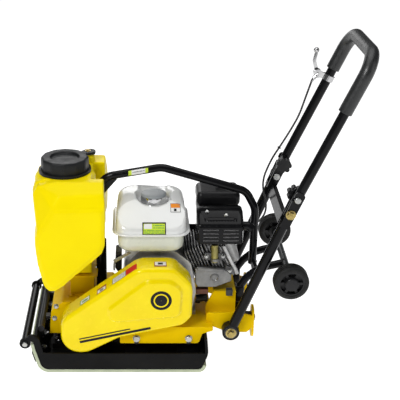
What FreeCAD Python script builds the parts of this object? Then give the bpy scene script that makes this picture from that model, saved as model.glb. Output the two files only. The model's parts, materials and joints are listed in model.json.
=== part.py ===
import FreeCAD, Part
import math
import os

# A plate compactor: a sprung steel base plate shaken by an eccentric shaft, an engine deck on
# rubber mounts, a petrol engine with a belt drive, a water tank, and a folding handle with
# transport wheels.  Millimetres.  +X points to the operator, +Z up, -Y is the belt side.
# The origin is the middle of the base plate's sole, on the ground.

V = FreeCAD.Vector
os.makedirs("parts", exist_ok=True)

# ---- driving dimensions -------------------------------------------------------------------
HALF_WIDTH = 175.0            # half the base plate's width
PAD_T = 9.0                   # urethane pad under the plate
PLATE_T = 8.0                 # steel of the base plate
SOLE = [(-252, 100), (-246, 70), (-226, 0), (232, 0), (254, 56), (249.6, 108)]
SOLE_RADII = [0, 70, 34, 34, 70, 0]
SIDE_WALL_T = 6.0
SIDE_WALL_TOP = 60.0

BAR_X, BAR_Z, BAR_R = -265.0, 92.0, 12.0      # lifting bar across the front
EAR_T = 8.0
EAR_R = 15.5

DECK_TOP = 130.0              # the engine stands on this face
DECK_T = 6.0
DECK_HALF = 150.0             # half the deck's width
FLANGE_T = 5.0
FLANGE_LOW = 79.0
MOUNT_X = (44.0, 190.0)       # rubber mounts along the deck
MOUNT_Z = 95.0
MOUNT_R = 22.0
BRIDGE_TOP = 178.0            # sheet bridge over the exciter
BRIDGE_HALF = 94.0

CRANK = (107.0, 236.0)        # crankshaft axis, X and Z
EXCITER = (-112.0, 117.0)     # eccentric shaft axis, X and Z
BELT_Y = -137.0
BELT_W, BELT_H = 12.0, 8.0
CLUTCH_PITCH_R = 55.0
EXCITER_PITCH_R = 35.0
GROOVE_GAP = 0.5
RUNNING = 0.05                # radial clearance of a running fit

GUARD_FACE = -172.0
GUARD_BACK = -100.0
GUARD_T = 2.5

TILT = 22.0                   # the cylinder leans this far above the horizontal, degrees
TANK_WALL = 4.0

FRAME_R = 11.0                # carrying frame tube
LEG_X = -56.0
POST_X = 377.0
ARM_Y = 55.0
AXLE = (461.0, 284.0)         # transport wheel axle, X and Z
AXLE_R = 10.0
AXLE_PIN_R = 8.0
WHEEL_R, WHEEL_W, WHEEL_HUB_R = 48.0, 40.0, 36.0
WHEEL_IN = 150.0              # inner face of each wheel

HANDLE_Y = 140.0
FOOT = (307.0, 114.0)         # lower end of the handle, X and Z
PIVOT = (451.0, 474.0)        # fold axis, X and Z
LOCK = (467.0, 515.0)         # clamping bolt above the fold axis
TOP_BAR = (640.0, 896.0)      # handle cross bar, X and Z
LOWER_R = 14.0
UPPER_R = 13.0
TUBE_WALL = 2.5
TOP_BEND = 59.0
FOAM_R = 18.5
SIDES = (-1.0, 1.0)           # -1 is the left (belt) side, +1 the right side


# ---- drawing helpers ----------------------------------------------------------------------
def box(x0, x1, y0, y1, z0, z1):
    return Part.makeBox(x1 - x0, y1 - y0, z1 - z0, V(x0, y0, z0))


def rod(start, end, radius):
    start, end = V(*start), V(*end)
    return Part.makeCylinder(radius, (end - start).Length, start, end - start)


def rod_y(centre, y0, y1, radius):
    """A cylinder along Y at centre = (X, Z)."""
    low, high = min(y0, y1), max(y0, y1)
    return Part.makeCylinder(radius, high - low, V(centre[0], low, centre[1]), V(0, 1, 0))


def ring_y(centre, y0, y1, outer, inner):
    return rod_y(centre, y0, y1, outer).cut(rod_y(centre, y0 - 1, y1 + 1, inner)) if y1 > y0 \
        else ring_y(centre, y1, y0, outer, inner)


def rounded_edges(points, radii, closed):
    """Straight edges through the points, with a tangent arc of the given radius at each."""
    count = len(points)
    corners = []
    for i, point in enumerate(points):
        radius = radii[i]
        if radius == 0 or (not closed and i in (0, count - 1)):
            corners.append((point, None, point))
            continue
        back = (points[i - 1] - point).normalize()
        ahead = (points[(i + 1) % count] - point).normalize()
        half = back.getAngle(ahead) / 2
        reach = radius / math.tan(half)
        middle = point + (back + ahead).normalize() * (radius / math.sin(half) - radius)
        corners.append((point + back * reach, middle, point + ahead * reach))
    edges = []
    for i, (start, middle, end) in enumerate(corners):
        if middle is not None:
            edges.append(Part.Arc(start, middle, end).toShape())
        if closed or i < count - 1:
            after = corners[(i + 1) % count][0]
            if (after - end).Length > 1e-6:
                edges.append(Part.makeLine(end, after))
    return edges


def spread(radii, count):
    return list(radii) if isinstance(radii, (list, tuple)) else [radii] * count


def plate_xz(points, y0, y1, radii=0):
    """An outline in X and Z, extruded from y0 to y1."""
    vectors = [V(x, y0, z) for x, z in points]
    wire = Part.Wire(rounded_edges(vectors, spread(radii, len(points)), True))
    return Part.Face(wire).extrude(V(0, y1 - y0, 0))


def plate_yz(points, x0, x1, radii=0):
    vectors = [V(x0, y, z) for y, z in points]
    wire = Part.Wire(rounded_edges(vectors, spread(radii, len(points)), True))
    return Part.Face(wire).extrude(V(x1 - x0, 0, 0))


def plate_xy(points, z0, z1, radii=0):
    vectors = [V(x, y, z0) for x, y in points]
    wire = Part.Wire(rounded_edges(vectors, spread(radii, len(points)), True))
    return Part.Face(wire).extrude(V(0, 0, z1 - z0))


def block(x0, x1, y0, y1, z0, z1, radius):
    """A box with all its edges rounded."""
    solid = box(x0, x1, y0, y1, z0, z1)
    return solid.makeFillet(radius, solid.Edges)


def path(points, radii):
    vectors = [V(*p) for p in points]
    return Part.Wire(rounded_edges(vectors, spread(radii, len(points)), False))


def bent_tube(points, radii, outer, wall=0.0):
    """A round tube along straight runs and tangent arcs; wall 0 makes it solid."""
    wire = path(points, radii)
    start, ahead = V(*points[0]), V(*points[1]) - V(*points[0])
    face = Part.Face(Part.Wire(Part.Circle(start, ahead, outer).toShape()))
    if wall:
        face = face.cut(Part.Face(Part.Wire(Part.Circle(start, ahead, outer - wall).toShape())))
        face = face.Faces[0]
    return wire.makePipe(face)


def offset_line(points, distance):
    """The open outline moved to its left by distance, with mitred corners."""
    moved = []
    for i, (x, z) in enumerate(points):
        steps = []
        if i > 0:
            steps.append((x - points[i - 1][0], z - points[i - 1][1]))
        if i < len(points) - 1:
            steps.append((points[i + 1][0] - x, points[i + 1][1] - z))
        normals = [(-dz / math.hypot(dx, dz), dx / math.hypot(dx, dz)) for dx, dz in steps]
        nx = sum(n[0] for n in normals)
        nz = sum(n[1] for n in normals)
        scale = distance / ((nx * normals[0][0] + nz * normals[0][1]) or 1.0)
        moved.append((x + nx * scale, z + nz * scale))
    return moved


def band(points, radii, near, far, y0, y1):
    """A bent strip between two offsets of an outline in X and Z."""
    low = offset_line(points, near)
    high = offset_line(points, far)
    low_r = [max(r - near, 0) for r in radii]
    high_r = [max(r - far, 0) for r in radii]
    return plate_xz(low + high[::-1], y0, y1, low_r + high_r[::-1])


def hex_prism(centre, axis, across_flats, height):
    """A hexagonal head or nut that starts at centre and grows along axis."""
    axis = V(*axis).normalize()
    side = axis.cross(V(0, 0, 1) if abs(axis.z) < 0.9 else V(1, 0, 0)).normalize()
    up = axis.cross(side)
    reach = across_flats / math.sqrt(3)
    corners = []
    for i in range(6):
        turn = math.radians(60 * i)
        corners.append(V(*centre) + side * (reach * math.cos(turn)) + up * (reach * math.sin(turn)))
    solid = Part.Face(Part.makePolygon(corners + corners[:1])).extrude(axis * height)
    top = V(*centre)
    trim = Part.makeCone(across_flats * 0.50 + height, across_flats * 0.50, height, top, axis)
    return solid.common(trim)


def bolt(seat, axis, size, length, head=None):
    """A hexagon bolt: its head starts at seat and points along axis, its shank the other way."""
    head = head or size * 1.6
    axis = V(*axis).normalize()
    shank = Part.makeCylinder(size / 2, length, V(*seat), axis * -1)
    return hex_prism(seat, tuple(axis), head, size * 0.65).fuse(shank).removeSplitter()


def washer(seat, axis, size, outer, thick=2.0):
    axis = V(*axis).normalize()
    solid = Part.makeCylinder(outer / 2, thick, V(*seat), axis)
    return solid.cut(Part.makeCylinder(size / 2 + 0.3, thick * 3, V(*seat) - axis * thick, axis))


def hole(seat, axis, size, depth):
    """The clearance hole of a bolt: from seat, depth back along its shank."""
    axis = V(*axis).normalize()
    return Part.makeCylinder(size / 2 + 0.4, depth + 2, V(*seat) + axis, axis * -1)


def at_sides(make):
    return [make(side) for side in SIDES]


def tilted(shape):
    """Turns a shape drawn along +X from the crankshaft up to the cylinder's real lean."""
    return shape.rotated(V(CRANK[0], 0, CRANK[1]), V(0, 1, 0), -TILT)


def save(name, *solids):
    flat = [piece for shape in solids for piece in shape.Solids]
    shape = flat[0] if len(flat) == 1 else Part.makeCompound(flat)
    if not shape.isValid():
        print("not valid:", name)
    shape.exportStep(f"parts/{name}.step")
    print(f"{name}: {len(flat)} solids, {shape.Volume / 1000:.1f} cm3")


# ---- fasteners that several pieces are drilled for ----------------------------------------
CLAMP_BOLT_Y = (-125.0, -45.0, 45.0, 125.0)
SLOPE = V(20, 0, -70).normalize()              # down the front slope of the sole
SLOPE_NORMAL = V(SLOPE.z, 0, -SLOPE.x)         # points forward and down, away from the pad
CLAMP_ALONG = 26.0
CLAMP_T = 6.0
CLAMP_BOLT = 10.0
EXCITER_BOLTS = [(x, y) for x in (-182.0, -42.0) for y in (-55.0, 55.0)]
EXCITER_BOLT = 14.0
FOOT_FLANGE = 14.0
FLOOR_TOP = PAD_T + PLATE_T
ENGINE_BOLTS = [(x, y) for x in (30.0, 180.0) for y in (-62.0, 62.0)]
ENGINE_BOLT = 8.0
ENGINE_FOOT_T = 12.0
DECK_BOLT = 10.0
BRACKET_Y = 115.0             # brackets on the base plate that hold the rubber mounts
BRACKET_T = 6.0
STAY_Y = (-85.0, 0.0, 85.0)   # ribs inside the plate's front wall


def slope_point(along, out):
    """A point in X and Z on the front slope: along it from its top, and out from the pad."""
    top = V(-246, 0, 70)
    point = top + SLOPE * along + SLOPE_NORMAL * out
    return point


def clamp_bolt_holes():
    cuts = []
    for y in CLAMP_BOLT_Y:
        seat = slope_point(CLAMP_ALONG, CLAMP_T) + V(0, y, 0)
        cuts.append(hole(tuple(seat), tuple(SLOPE_NORMAL), CLAMP_BOLT, 40))
    return cuts


# ---- base -----------------------------------------------------------------------------------
def ear(side):
    """The curved lug at each end of the lifting bar."""
    y0 = side * HALF_WIDTH
    y1 = side * (HALF_WIDTH - EAR_T)
    arm = [(-268, 104), (-246, 122), (-226, 106), (-210, 40), (-224, 40), (-234, 97), (-254, 99)]
    shape = plate_xz(arm, min(y0, y1), max(y0, y1), [4, 14, 18, 2, 2, 10, 4])
    return shape.fuse(rod_y((BAR_X, BAR_Z), y0, y1, EAR_R))


def base_plate():
    floor = band(SOLE, SOLE_RADII, PAD_T, PAD_T + PLATE_T, -HALF_WIDTH, HALF_WIDTH)
    inner = offset_line(SOLE, PAD_T + 3)[1:-1]
    inner_radii = [0, 20, 20, 0]
    inner[0] = (inner[0][0] + 2, SIDE_WALL_TOP)
    inner[-1] = (inner[-1][0], SIDE_WALL_TOP)
    shape = floor
    for side in SIDES:
        outer_y = side * HALF_WIDTH
        inner_y = side * (HALF_WIDTH - SIDE_WALL_T)
        wall = plate_xz(inner, min(outer_y, inner_y), max(outer_y, inner_y), inner_radii)
        shape = shape.fuse(wall)
        bracket_out = side * (BRACKET_Y + BRACKET_T)
        bracket_in = side * BRACKET_Y
        for x in MOUNT_X:
            outline = [(x - 32, FLOOR_TOP - 2), (x + 32, FLOOR_TOP - 2), (x + 24, MOUNT_Z + 20),
                       (x - 24, MOUNT_Z + 20)]
            low, high = min(bracket_in, bracket_out), max(bracket_in, bracket_out)
            shape = shape.fuse(plate_xz(outline, low, high, [0, 0, 12, 12]))
        shape = shape.fuse(ear(side))
    for y in STAY_Y:
        stay = [(-228, 60), (-222, 60), (-201, FLOOR_TOP - 2), (-208, FLOOR_TOP - 2)]
        shape = shape.fuse(plate_xz(stay, y - 4, y + 4))
    for x, y in EXCITER_BOLTS:
        shape = shape.cut(hole((x, y, FLOOR_TOP + 1), (0, 0, 1), EXCITER_BOLT, PLATE_T + 2))
    for cut in clamp_bolt_holes():
        shape = shape.cut(cut)
    for side in SIDES:
        shape = shape.cut(rod_y((BAR_X, BAR_Z), side * 160, side * 180, 5.4))
        for x in MOUNT_X:
            shape = shape.cut(rod_y((x, MOUNT_Z), side * 110, side * 125, DECK_BOLT / 2 + 0.4))
    return shape.removeSplitter()


def base_pad():
    strip = [(-249.6, 88), (-246, 70), (-226, 0), (232, 0), (240, 20)]
    shape = band(strip, [0, 70, 34, 20, 0], 0, PAD_T - 0.4, -HALF_WIDTH, HALF_WIDTH)
    for x, y in EXCITER_BOLTS:
        shape = shape.cut(rod((x, y, -1), (x, y, PAD_T + 1), 14))
    for cut in clamp_bolt_holes():
        shape = shape.cut(cut)
    return shape


def pad_clamp():
    a = slope_point(12, 0.1)
    b = slope_point(42, 0.1)
    c = slope_point(42, CLAMP_T)
    d = slope_point(12, CLAMP_T)
    shape = plate_xz([(p.x, p.z) for p in (a, b, c, d)], -HALF_WIDTH + 10, HALF_WIDTH - 10)
    for cut in clamp_bolt_holes():
        shape = shape.cut(cut)
    return shape


def front_bar():
    reach = HALF_WIDTH - EAR_T
    bar = ring_y((BAR_X, BAR_Z), -reach, reach, BAR_R, BAR_R - 3)
    plugs = [ring_y((BAR_X, BAR_Z), side * (reach - 22), side * reach, BAR_R - 2.9, 5.4)
             for side in SIDES]
    return bar.fuse(plugs[0]).fuse(plugs[1])


# ---- exciter --------------------------------------------------------------------------------
EXCITER_R = 48.0
EXCITER_HALF = 74.0
BEARING_R, BEARING_BORE, BEARING_W = 31.0, 15.0, 20.0
COVER_T = 8.0
SHAFT_R = 15.0


def exciter_housing():
    body = rod_y(EXCITER, -EXCITER_HALF, EXCITER_HALF, EXCITER_R)
    x, z = EXCITER
    saddle = [(x - 58, FLOOR_TOP), (x + 58, FLOOR_TOP), (x + 40, z), (x - 40, z)]
    body = body.fuse(plate_xz(saddle, -64, 64))
    body = body.fuse(box(x - 86, x + 86, -74, 74, FLOOR_TOP, FLOOR_TOP + FOOT_FLANGE))
    for y in (-40, 0, 40):
        rib = [(x - 80, FLOOR_TOP + 10), (x + 80, FLOOR_TOP + 10), (x + 44, z - 6), (x - 44, z - 6)]
        body = body.fuse(plate_xz(rib, y - 4, y + 4))
    body = body.cut(rod_y(EXCITER, -50, 50, 39))
    body = body.cut(rod_y(EXCITER, -90, 90, BEARING_R + 0.02))
    for bx, by in EXCITER_BOLTS:
        body = body.cut(hole((bx, by, FLOOR_TOP + 30), (0, 0, 1), EXCITER_BOLT, 40))
        top = FLOOR_TOP + FOOT_FLANGE
        body = body.cut(rod((bx, by, top), (bx, by, top + 30), 14))
    return body.removeSplitter()


def exciter_covers():
    covers = []
    for side in SIDES:
        inner, outer = side * EXCITER_HALF, side * (EXCITER_HALF + COVER_T)
        cover = rod_y(EXCITER, inner, outer, 43)
        if side < 0:
            cover = cover.cut(rod_y(EXCITER, -100, -60, SHAFT_R + 0.5))
        for i in range(6):
            turn = math.radians(60 * i + 30)
            spot = (EXCITER[0] + 37 * math.cos(turn), EXCITER[1] + 37 * math.sin(turn))
            cover = cover.fuse(rod_y(spot, outer, outer + side * 3.5, 5))
        covers.append(cover.removeSplitter())
    return covers


def exciter_bearings():
    def one(side):
        a, b = side * (EXCITER_HALF - 1), side * (EXCITER_HALF - 1 - BEARING_W)
        outer = ring_y(EXCITER, a, b, BEARING_R, BEARING_R - 5)
        inner = ring_y(EXCITER, a, b, BEARING_BORE + 5, BEARING_BORE + RUNNING)
        cage = ring_y(EXCITER, side * (EXCITER_HALF - 4), side * (EXCITER_HALF - 18),
                      BEARING_R - 4.9, BEARING_BORE + 4.9)
        return outer.fuse(inner).fuse(cage)
    return at_sides(one)


def exciter_shaft():
    shaft = rod_y(EXCITER, -152, EXCITER_HALF - 2, SHAFT_R)
    weight = rod_y(EXCITER, -46, 46, 36)
    above = box(EXCITER[0] - 40, EXCITER[0] + 40, -50, 50, EXCITER[1] - 2, EXCITER[1] + 40)
    return shaft.fuse(weight.cut(above)).removeSplitter()


def grooved(centre, pitch_r, y0, y1):
    """A V-belt pulley rim: the groove clears the belt on every side."""
    rim = rod_y(centre, y0, y1, pitch_r + BELT_H / 2 + 1)
    half = BELT_W / 2 + GROOVE_GAP
    groove = ring_y(centre, BELT_Y - half, BELT_Y + half, pitch_r + 20,
                    pitch_r - BELT_H / 2 - GROOVE_GAP)
    return rim.cut(groove)


def exciter_pulley():
    pulley = grooved(EXCITER, EXCITER_PITCH_R, BELT_Y - 10, BELT_Y + 10)
    pulley = pulley.cut(rod_y(EXCITER, -160, -110, SHAFT_R + 0.02))
    nut = hex_prism((EXCITER[0], -152.1, EXCITER[1]), (0, -1, 0), 24, 8)
    return [pulley, nut]


def v_belt():
    dx, dz = CRANK[0] - EXCITER[0], CRANK[1] - EXCITER[1]
    span = math.hypot(dx, dz)
    tilt = math.atan2(dz, dx)
    lean = math.acos((EXCITER_PITCH_R - CLUTCH_PITCH_R) / span)

    def loop(shift):
        def spot(centre, radius, angle):
            return V(centre[0] + (radius + shift) * math.cos(angle), BELT_Y - BELT_W / 2,
                     centre[1] + (radius + shift) * math.sin(angle))
        top_e = spot(EXCITER, EXCITER_PITCH_R, tilt + lean)
        low_e = spot(EXCITER, EXCITER_PITCH_R, tilt - lean)
        top_c = spot(CRANK, CLUTCH_PITCH_R, tilt + lean)
        low_c = spot(CRANK, CLUTCH_PITCH_R, tilt - lean)
        edges = [Part.makeLine(top_e, top_c),
                 Part.Arc(top_c, spot(CRANK, CLUTCH_PITCH_R, tilt), low_c).toShape(),
                 Part.makeLine(low_c, low_e),
                 Part.Arc(low_e, spot(EXCITER, EXCITER_PITCH_R, tilt + math.pi), top_e).toShape()]
        return Part.Face(Part.Wire(edges)).extrude(V(0, BELT_W, 0))
    return loop(BELT_H / 2).cut(loop(-BELT_H / 2))


# ---- deck -----------------------------------------------------------------------------------
REAR_WALL_X = 318.0
REAR_WALL_T = 6.0
EAR_PLATE_X = 368.0
BOBBIN = (344.0, 133.0, 97.0)        # start X, Z and Y of each rubber buffer
FOOT_BLOCK = (324.0, 348.0, 165.0, 215.0)


def shock_mounts():
    mounts = []
    for side in SIDES:
        inner, outer = side * (BRACKET_Y + BRACKET_T), side * (DECK_HALF - FLANGE_T)
        for x in MOUNT_X:
            rubber = rod_y((x, MOUNT_Z), inner, outer, MOUNT_R)
            mounts.append(rubber.cut(rod_y((x, MOUNT_Z), 100 * side, 160 * side, 5.4)))
    return mounts


def deck_flange(side):
    low_x = -2.0 if side < 0 else -60.0
    outline = [(low_x, FLANGE_LOW), (218, FLANGE_LOW), (228, 110), (257, 119), (257, DECK_TOP),
               (low_x, DECK_TOP)]
    a, b = side * DECK_HALF, side * (DECK_HALF - FLANGE_T)
    return plate_xz(outline, min(a, b), max(a, b), [4, 10, 8, 4, 0, 0])


def bridge_cheek(side):
    outline = [(-203, FLANGE_LOW), (6, FLANGE_LOW), (6, DECK_TOP), (-24, BRIDGE_TOP),
               (-165, BRIDGE_TOP), (-197, 150)]
    a, b = side * BRIDGE_HALF, side * (BRIDGE_HALF - FLANGE_T)
    cheek = plate_xz(outline, min(a, b), max(a, b), [4, 4, 4, 8, 8, 8])
    return cheek.cut(rod_y(EXCITER, side * 80, side * 100, 46))


def engine_deck():
    shape = box(0, 257, -DECK_HALF, DECK_HALF, DECK_TOP - DECK_T, DECK_TOP)
    shape = shape.fuse(box(-60, 10, 0, DECK_HALF, DECK_TOP - DECK_T, DECK_TOP))
    for side in SIDES:
        shape = shape.fuse(deck_flange(side)).fuse(bridge_cheek(side))
    roof = [(-203, FLANGE_LOW), (-197, 150), (-165, BRIDGE_TOP), (-24, BRIDGE_TOP),
            (4, DECK_TOP)]
    shape = shape.fuse(band(roof, [0, 8, 8, 8, 0], 0, -5, -BRIDGE_HALF, BRIDGE_HALF))
    # rear bracket that carries the frame and the handle's buffers
    for side in SIDES:
        a, b = side * 80.0, side * 74.0
        web = [(240, DECK_TOP - 4), (REAR_WALL_X + 2, 98), (REAR_WALL_X + 2, 206), (262, 206),
               (240, 160)]
        shape = shape.fuse(plate_xz(web, min(a, b), max(a, b)))
        c, d = side * 122.0, side * 116.0
        arm = [(240, DECK_TOP - 4), (258, 117), (300, 99), (354, 98), (EAR_PLATE_X + 1, 112),
               (EAR_PLATE_X + 1, 150), (330, 160), (240, 160)]
        shape = shape.fuse(plate_xz(arm, min(c, d), max(c, d), [0, 6, 20, 8, 0, 0, 8, 8]))
        low, high = min(side * 74, side * 124), max(side * 74, side * 124)
        tab = plate_yz([(low, 78), (high, 78), (high, 170), (low, 170)], EAR_PLATE_X,
                       EAR_PLATE_X + 6, 20)
        shape = shape.fuse(tab)
    shape = shape.fuse(box(REAR_WALL_X, REAR_WALL_X + REAR_WALL_T, -80, 80, 98, 206))
    shape = shape.fuse(box(262, REAR_WALL_X + 2, -80, 80, 200, 206))
    for side in SIDES:
        for x in MOUNT_X:
            y0, y1 = min(side * 140, side * 160), max(side * 140, side * 160)
            shape = shape.cut(rod_y((x, MOUNT_Z), y0, y1, DECK_BOLT / 2 + 1))
            shape = shape.cut(box(x - 6, x + 6, y0, y1, FLANGE_LOW - 5, MOUNT_Z))
        bx, bz, by = BOBBIN
        shape = shape.cut(rod((bx, side * by, bz), (bx + 60, side * by, bz), 4.4))
        shape = shape.cut(rod_y(FOOT, side * 100, side * 130, 6.4))
        shape = shape.cut(rod((310, side * ARM_Y, 190), (330, side * ARM_Y, 190), 5.4))
    shape = shape.cut(box(-5, 40, -145.1, -124, 100, DECK_TOP + 1))
    for x, y in ENGINE_BOLTS:
        shape = shape.cut(hole((x, y, DECK_TOP), (0, 0, 1), ENGINE_BOLT, 12))
    for x in (-135.0, -80.0):
        for y in (-55.0, 55.0):
            shape = shape.cut(hole((x, y, BRIDGE_TOP), (0, 0, 1), 8, 12))
    return shape.removeSplitter()


def chassis_bolts():
    bolts = []
    for y in CLAMP_BOLT_Y:
        seat = slope_point(CLAMP_ALONG, CLAMP_T) + V(0, y, 0)
        bolts.append(bolt(tuple(seat), tuple(SLOPE_NORMAL), CLAMP_BOLT, 36))
        inner = slope_point(CLAMP_ALONG, -PAD_T - PLATE_T - 1.0) + V(0, y, 0)
        nut = hex_prism(tuple(inner), tuple(SLOPE_NORMAL * -1), 16, 8)
        shank = Part.makeCylinder(CLAMP_BOLT / 2, 60, seat, SLOPE_NORMAL * -1)
        bolts.append(nut.cut(shank))
    for x, y in EXCITER_BOLTS:
        top = FLOOR_TOP + FOOT_FLANGE
        bolts.append(bolt((x, y, top), (0, 0, 1), EXCITER_BOLT, FOOT_FLANGE + PLATE_T - 2))
    for side in SIDES:
        bolts.append(bolt((BAR_X, side * HALF_WIDTH, BAR_Z), (0, side, 0), 10, 26, 13))
        for x in MOUNT_X:
            face = side * DECK_HALF
            bolts.append(washer((x, face, MOUNT_Z), (0, side, 0), DECK_BOLT, 20))
            bolts.append(bolt((x, face + side * 2.05, MOUNT_Z), (0, side, 0), DECK_BOLT, 36))
    return bolts


def tank_support():
    outline = [(-150, -62), (-66, -62), (-66, 62), (-150, 62)]
    top = plate_xy(outline, 240, 244, 10)
    foot = plate_xy([(x, y) for x, y in outline], BRIDGE_TOP, BRIDGE_TOP + 4, 10)
    column = box(-143, -76, -46, 46, BRIDGE_TOP + 2, 242)
    column = column.cut(box(-139, -80, -42, 42, BRIDGE_TOP, 250))
    shape = top.fuse(foot).fuse(column)
    shape = shape.cut(box(-130, -90, -30, 30, 230, 250))
    for x in (-135.0, -80.0):
        for y in (-55.0, 55.0):
            shape = shape.cut(hole((x, y, BRIDGE_TOP + 10), (0, 0, 1), 8, 20))
    # stop clear of the frame's front leg
    return shape.cut(rod((LEG_X, 0, 150), (LEG_X, 0, 260), 17)).removeSplitter()


# ---- carrying frame and wheels ----------------------------------------------------------------
def roll_frame():
    route = [(LEG_X, 0, 300), (LEG_X, 0, 519), (114, 0, 549), (350, 0, 478), (POST_X, 0, 425),
             (POST_X, 0, 262)]
    tube = bent_tube(route, [0, 40, 60, 45, 60, 0], FRAME_R, TUBE_WALL)
    sleeve = rod((LEG_X, 0, BRIDGE_TOP + 6), (LEG_X, 0, 330), 15)
    sleeve = sleeve.cut(rod((LEG_X, 0, 320), (LEG_X, 0, 340), FRAME_R - 0.2))
    gusset = plate_xz([(LEG_X, 472), (LEG_X + 10, 472), (LEG_X + 46, 514), (LEG_X + 46, 524),
                       (LEG_X, 515)], -3, 3)
    foot = box(LEG_X - 24, LEG_X + 22, -32, 32, BRIDGE_TOP, BRIDGE_TOP + 6)
    foot = foot.cut(box(LEG_X - 30, LEG_X - 9, -70, 70, BRIDGE_TOP - 1, BRIDGE_TOP + 10))
    cap = rod((POST_X, 0, 262), (POST_X, 0, 256), FRAME_R + 2)
    return tube.fuse(sleeve).fuse(gusset).fuse(foot).fuse(cap).removeSplitter()


ARM_PATH = [(334, 205), (356, 238), (384, 262), (412, 272), (461, 284)]


def wheel_arms():
    pieces = None
    for side in SIDES:
        y = side * ARM_Y
        route = [(334, y, 120)] + [(x, y, z) for x, z in ARM_PATH]
        arm = bent_tube(route, [0, 50, 60, 60, 60, 0], FRAME_R)
        fx0, fx1, fz0, fz1 = FOOT_BLOCK
        foot = box(fx0, fx1, y - 16, y + 16, fz0, fz1)
        arm = arm.fuse(foot.makeFillet(4, foot.Edges))
        arm = arm.cut(rod((300, y, 190), (333, y, 190), 5.4))
        pieces = arm if pieces is None else pieces.fuse(arm)
    link = rod((379, -ARM_Y, 259), (379, ARM_Y, 259), 9)
    pieces = pieces.fuse(link)
    pieces = pieces.cut(rod((POST_X, 0, 255.9), (POST_X, 0, 300), FRAME_R + 2.4))
    pieces = pieces.cut(rod_y(AXLE, -100, 100, AXLE_R + 0.02))
    return pieces.cut(box(300, REAR_WALL_X + REAR_WALL_T, -90, 90, 90, 206)).removeSplitter()


def wheel_axle():
    shaft = rod_y(AXLE, -WHEEL_IN + 3, WHEEL_IN - 3, AXLE_R)
    shaft = shaft.fuse(rod_y(AXLE, -WHEEL_IN - WHEEL_W - 6, WHEEL_IN + WHEEL_W + 6, AXLE_PIN_R))
    for side in SIDES:
        edge = side * (WHEEL_IN + WHEEL_W + 1)
        shaft = shaft.fuse(rod_y(AXLE, edge, edge + side * 5, 12))
    return shaft.removeSplitter()


def wheel_body(side):
    inner, outer = side * WHEEL_IN, side * (WHEEL_IN + WHEEL_W)
    low, high = min(inner, outer), max(inner, outer)
    rim = ring_y(AXLE, low + 2, high - 2, WHEEL_HUB_R, 31)
    hub = rod_y(AXLE, low, high, 19)
    web = rod_y(AXLE, low + 14, high - 14, 32)
    shape = rim.fuse(hub).fuse(web)
    for i in range(6):
        turn = 60.0 * i
        spoke = box(AXLE[0] + 15, AXLE[0] + 33, low + 5, high - 5, AXLE[1] - 3.5, AXLE[1] + 3.5)
        shape = shape.fuse(spoke.rotated(V(AXLE[0], 0, AXLE[1]), V(0, 1, 0), turn))
    return shape.cut(rod_y(AXLE, low - 1, high + 1, AXLE_PIN_R + RUNNING)).removeSplitter()


def tyre(side):
    inner, outer = side * (WHEEL_IN + 0.5), side * (WHEEL_IN + WHEEL_W - 0.5)
    low, high = min(inner, outer), max(inner, outer)
    shape = rod_y(AXLE, low, high, WHEEL_R)
    rims = [e for e in shape.Edges if e.Length > 100 and len(e.Vertexes) == 1]
    shape = shape.makeFillet(8, rims)
    for y in (-8.0, 0.0, 8.0):
        mid = side * (WHEEL_IN + WHEEL_W / 2) + y
        shape = shape.cut(ring_y(AXLE, mid - 1.5, mid + 1.5, WHEEL_R + 5, WHEEL_R - 2.5))
    return shape.cut(rod_y(AXLE, low - 1, high + 1, WHEEL_HUB_R + 0.02))


# ---- water system -----------------------------------------------------------------------------
CAP_CENTRE = (-153.0, 0.0)
TANK_TOP = 540.0
WATER_CAP_TOP = 588.0
NECK_R = 52.0


def tank_form(inset):
    """The tank's outer form for inset 0, its cavity for the wall's thickness."""
    i = inset
    upper = [(-229 + i, TANK_TOP - i), (-224 + i, 466), (-231 + i, 385), (-224 + i, 352),
             (-62 - i, 352), (-46 - i, 374), (-44 - i, TANK_TOP - i)]
    shape = plate_xz(upper, -140 + i, 140 - i, [20, 60, 60, 0, 0, 20, 20])
    lobe = [(-231 + i, 385), (-196 + i, 250 + i), (-180, 242 + i), (-166 - i, 248 + i),
            (-62 - i, 352), (-62 - i, 385)]
    for side in SIDES:
        a, b = side * (62 + i), side * (140 - i)
        shape = shape.fuse(plate_xz(lobe, min(a, b), max(a, b), [0, 10, 8, 10, 0, 0]))
    shape = shape.fuse(box(-140 + i, -76 - i, -54 + i, 54 - i, 244 + i, 360))
    groove = box(LEG_X - 22 - i, -30, -26 - i, 26 + i, 200, 700)
    return shape.cut(groove)


def water_tank():
    x, y = CAP_CENTRE
    shape = tank_form(0)
    shape = shape.cut(tank_form(TANK_WALL))
    shape = shape.fuse(rod((x, y, TANK_TOP - TANK_WALL), (x, y, TANK_TOP + 14), NECK_R + 4))
    shape = shape.cut(rod((x, y, TANK_TOP - 30), (x, y, TANK_TOP + 20), NECK_R))
    shape = shape.cut(rod((-169, 96, 252), (-176, 96, 216), 8.02))
    return shape.removeSplitter()


def water_tank_cap():
    x, y = CAP_CENTRE
    low, high = TANK_TOP + 0.4, WATER_CAP_TOP
    shape = rod((x, y, low), (x, y, high), 66)
    top = [e for e in shape.Edges if len(e.Vertexes) == 1 and e.BoundBox.ZMin > high - 1]
    shape = shape.makeFillet(4, top)
    for i in range(16):
        turn = math.radians(22.5 * i)
        spot = (x + 72 * math.cos(turn), y + 72 * math.sin(turn))
        shape = shape.cut(rod((*spot, low - 1), (*spot, high - 3), 8))
    shape = shape.cut(rod((x, y, high - 5), (x, y, high + 1), 40))
    return shape.cut(rod((x, y, low - 1), (x, y, high - 10), NECK_R + 4.4)).removeSplitter()


HOSE_R = 8.0
HOSE = [(-170, 96, 246), (-176, 96, 216), (-204, 92, 190), (-222, 84, 168), (-222, 84, 148)]
SPRAY_X, SPRAY_Z, SPRAY_R = -222.0, 122.0, 9.0


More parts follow.
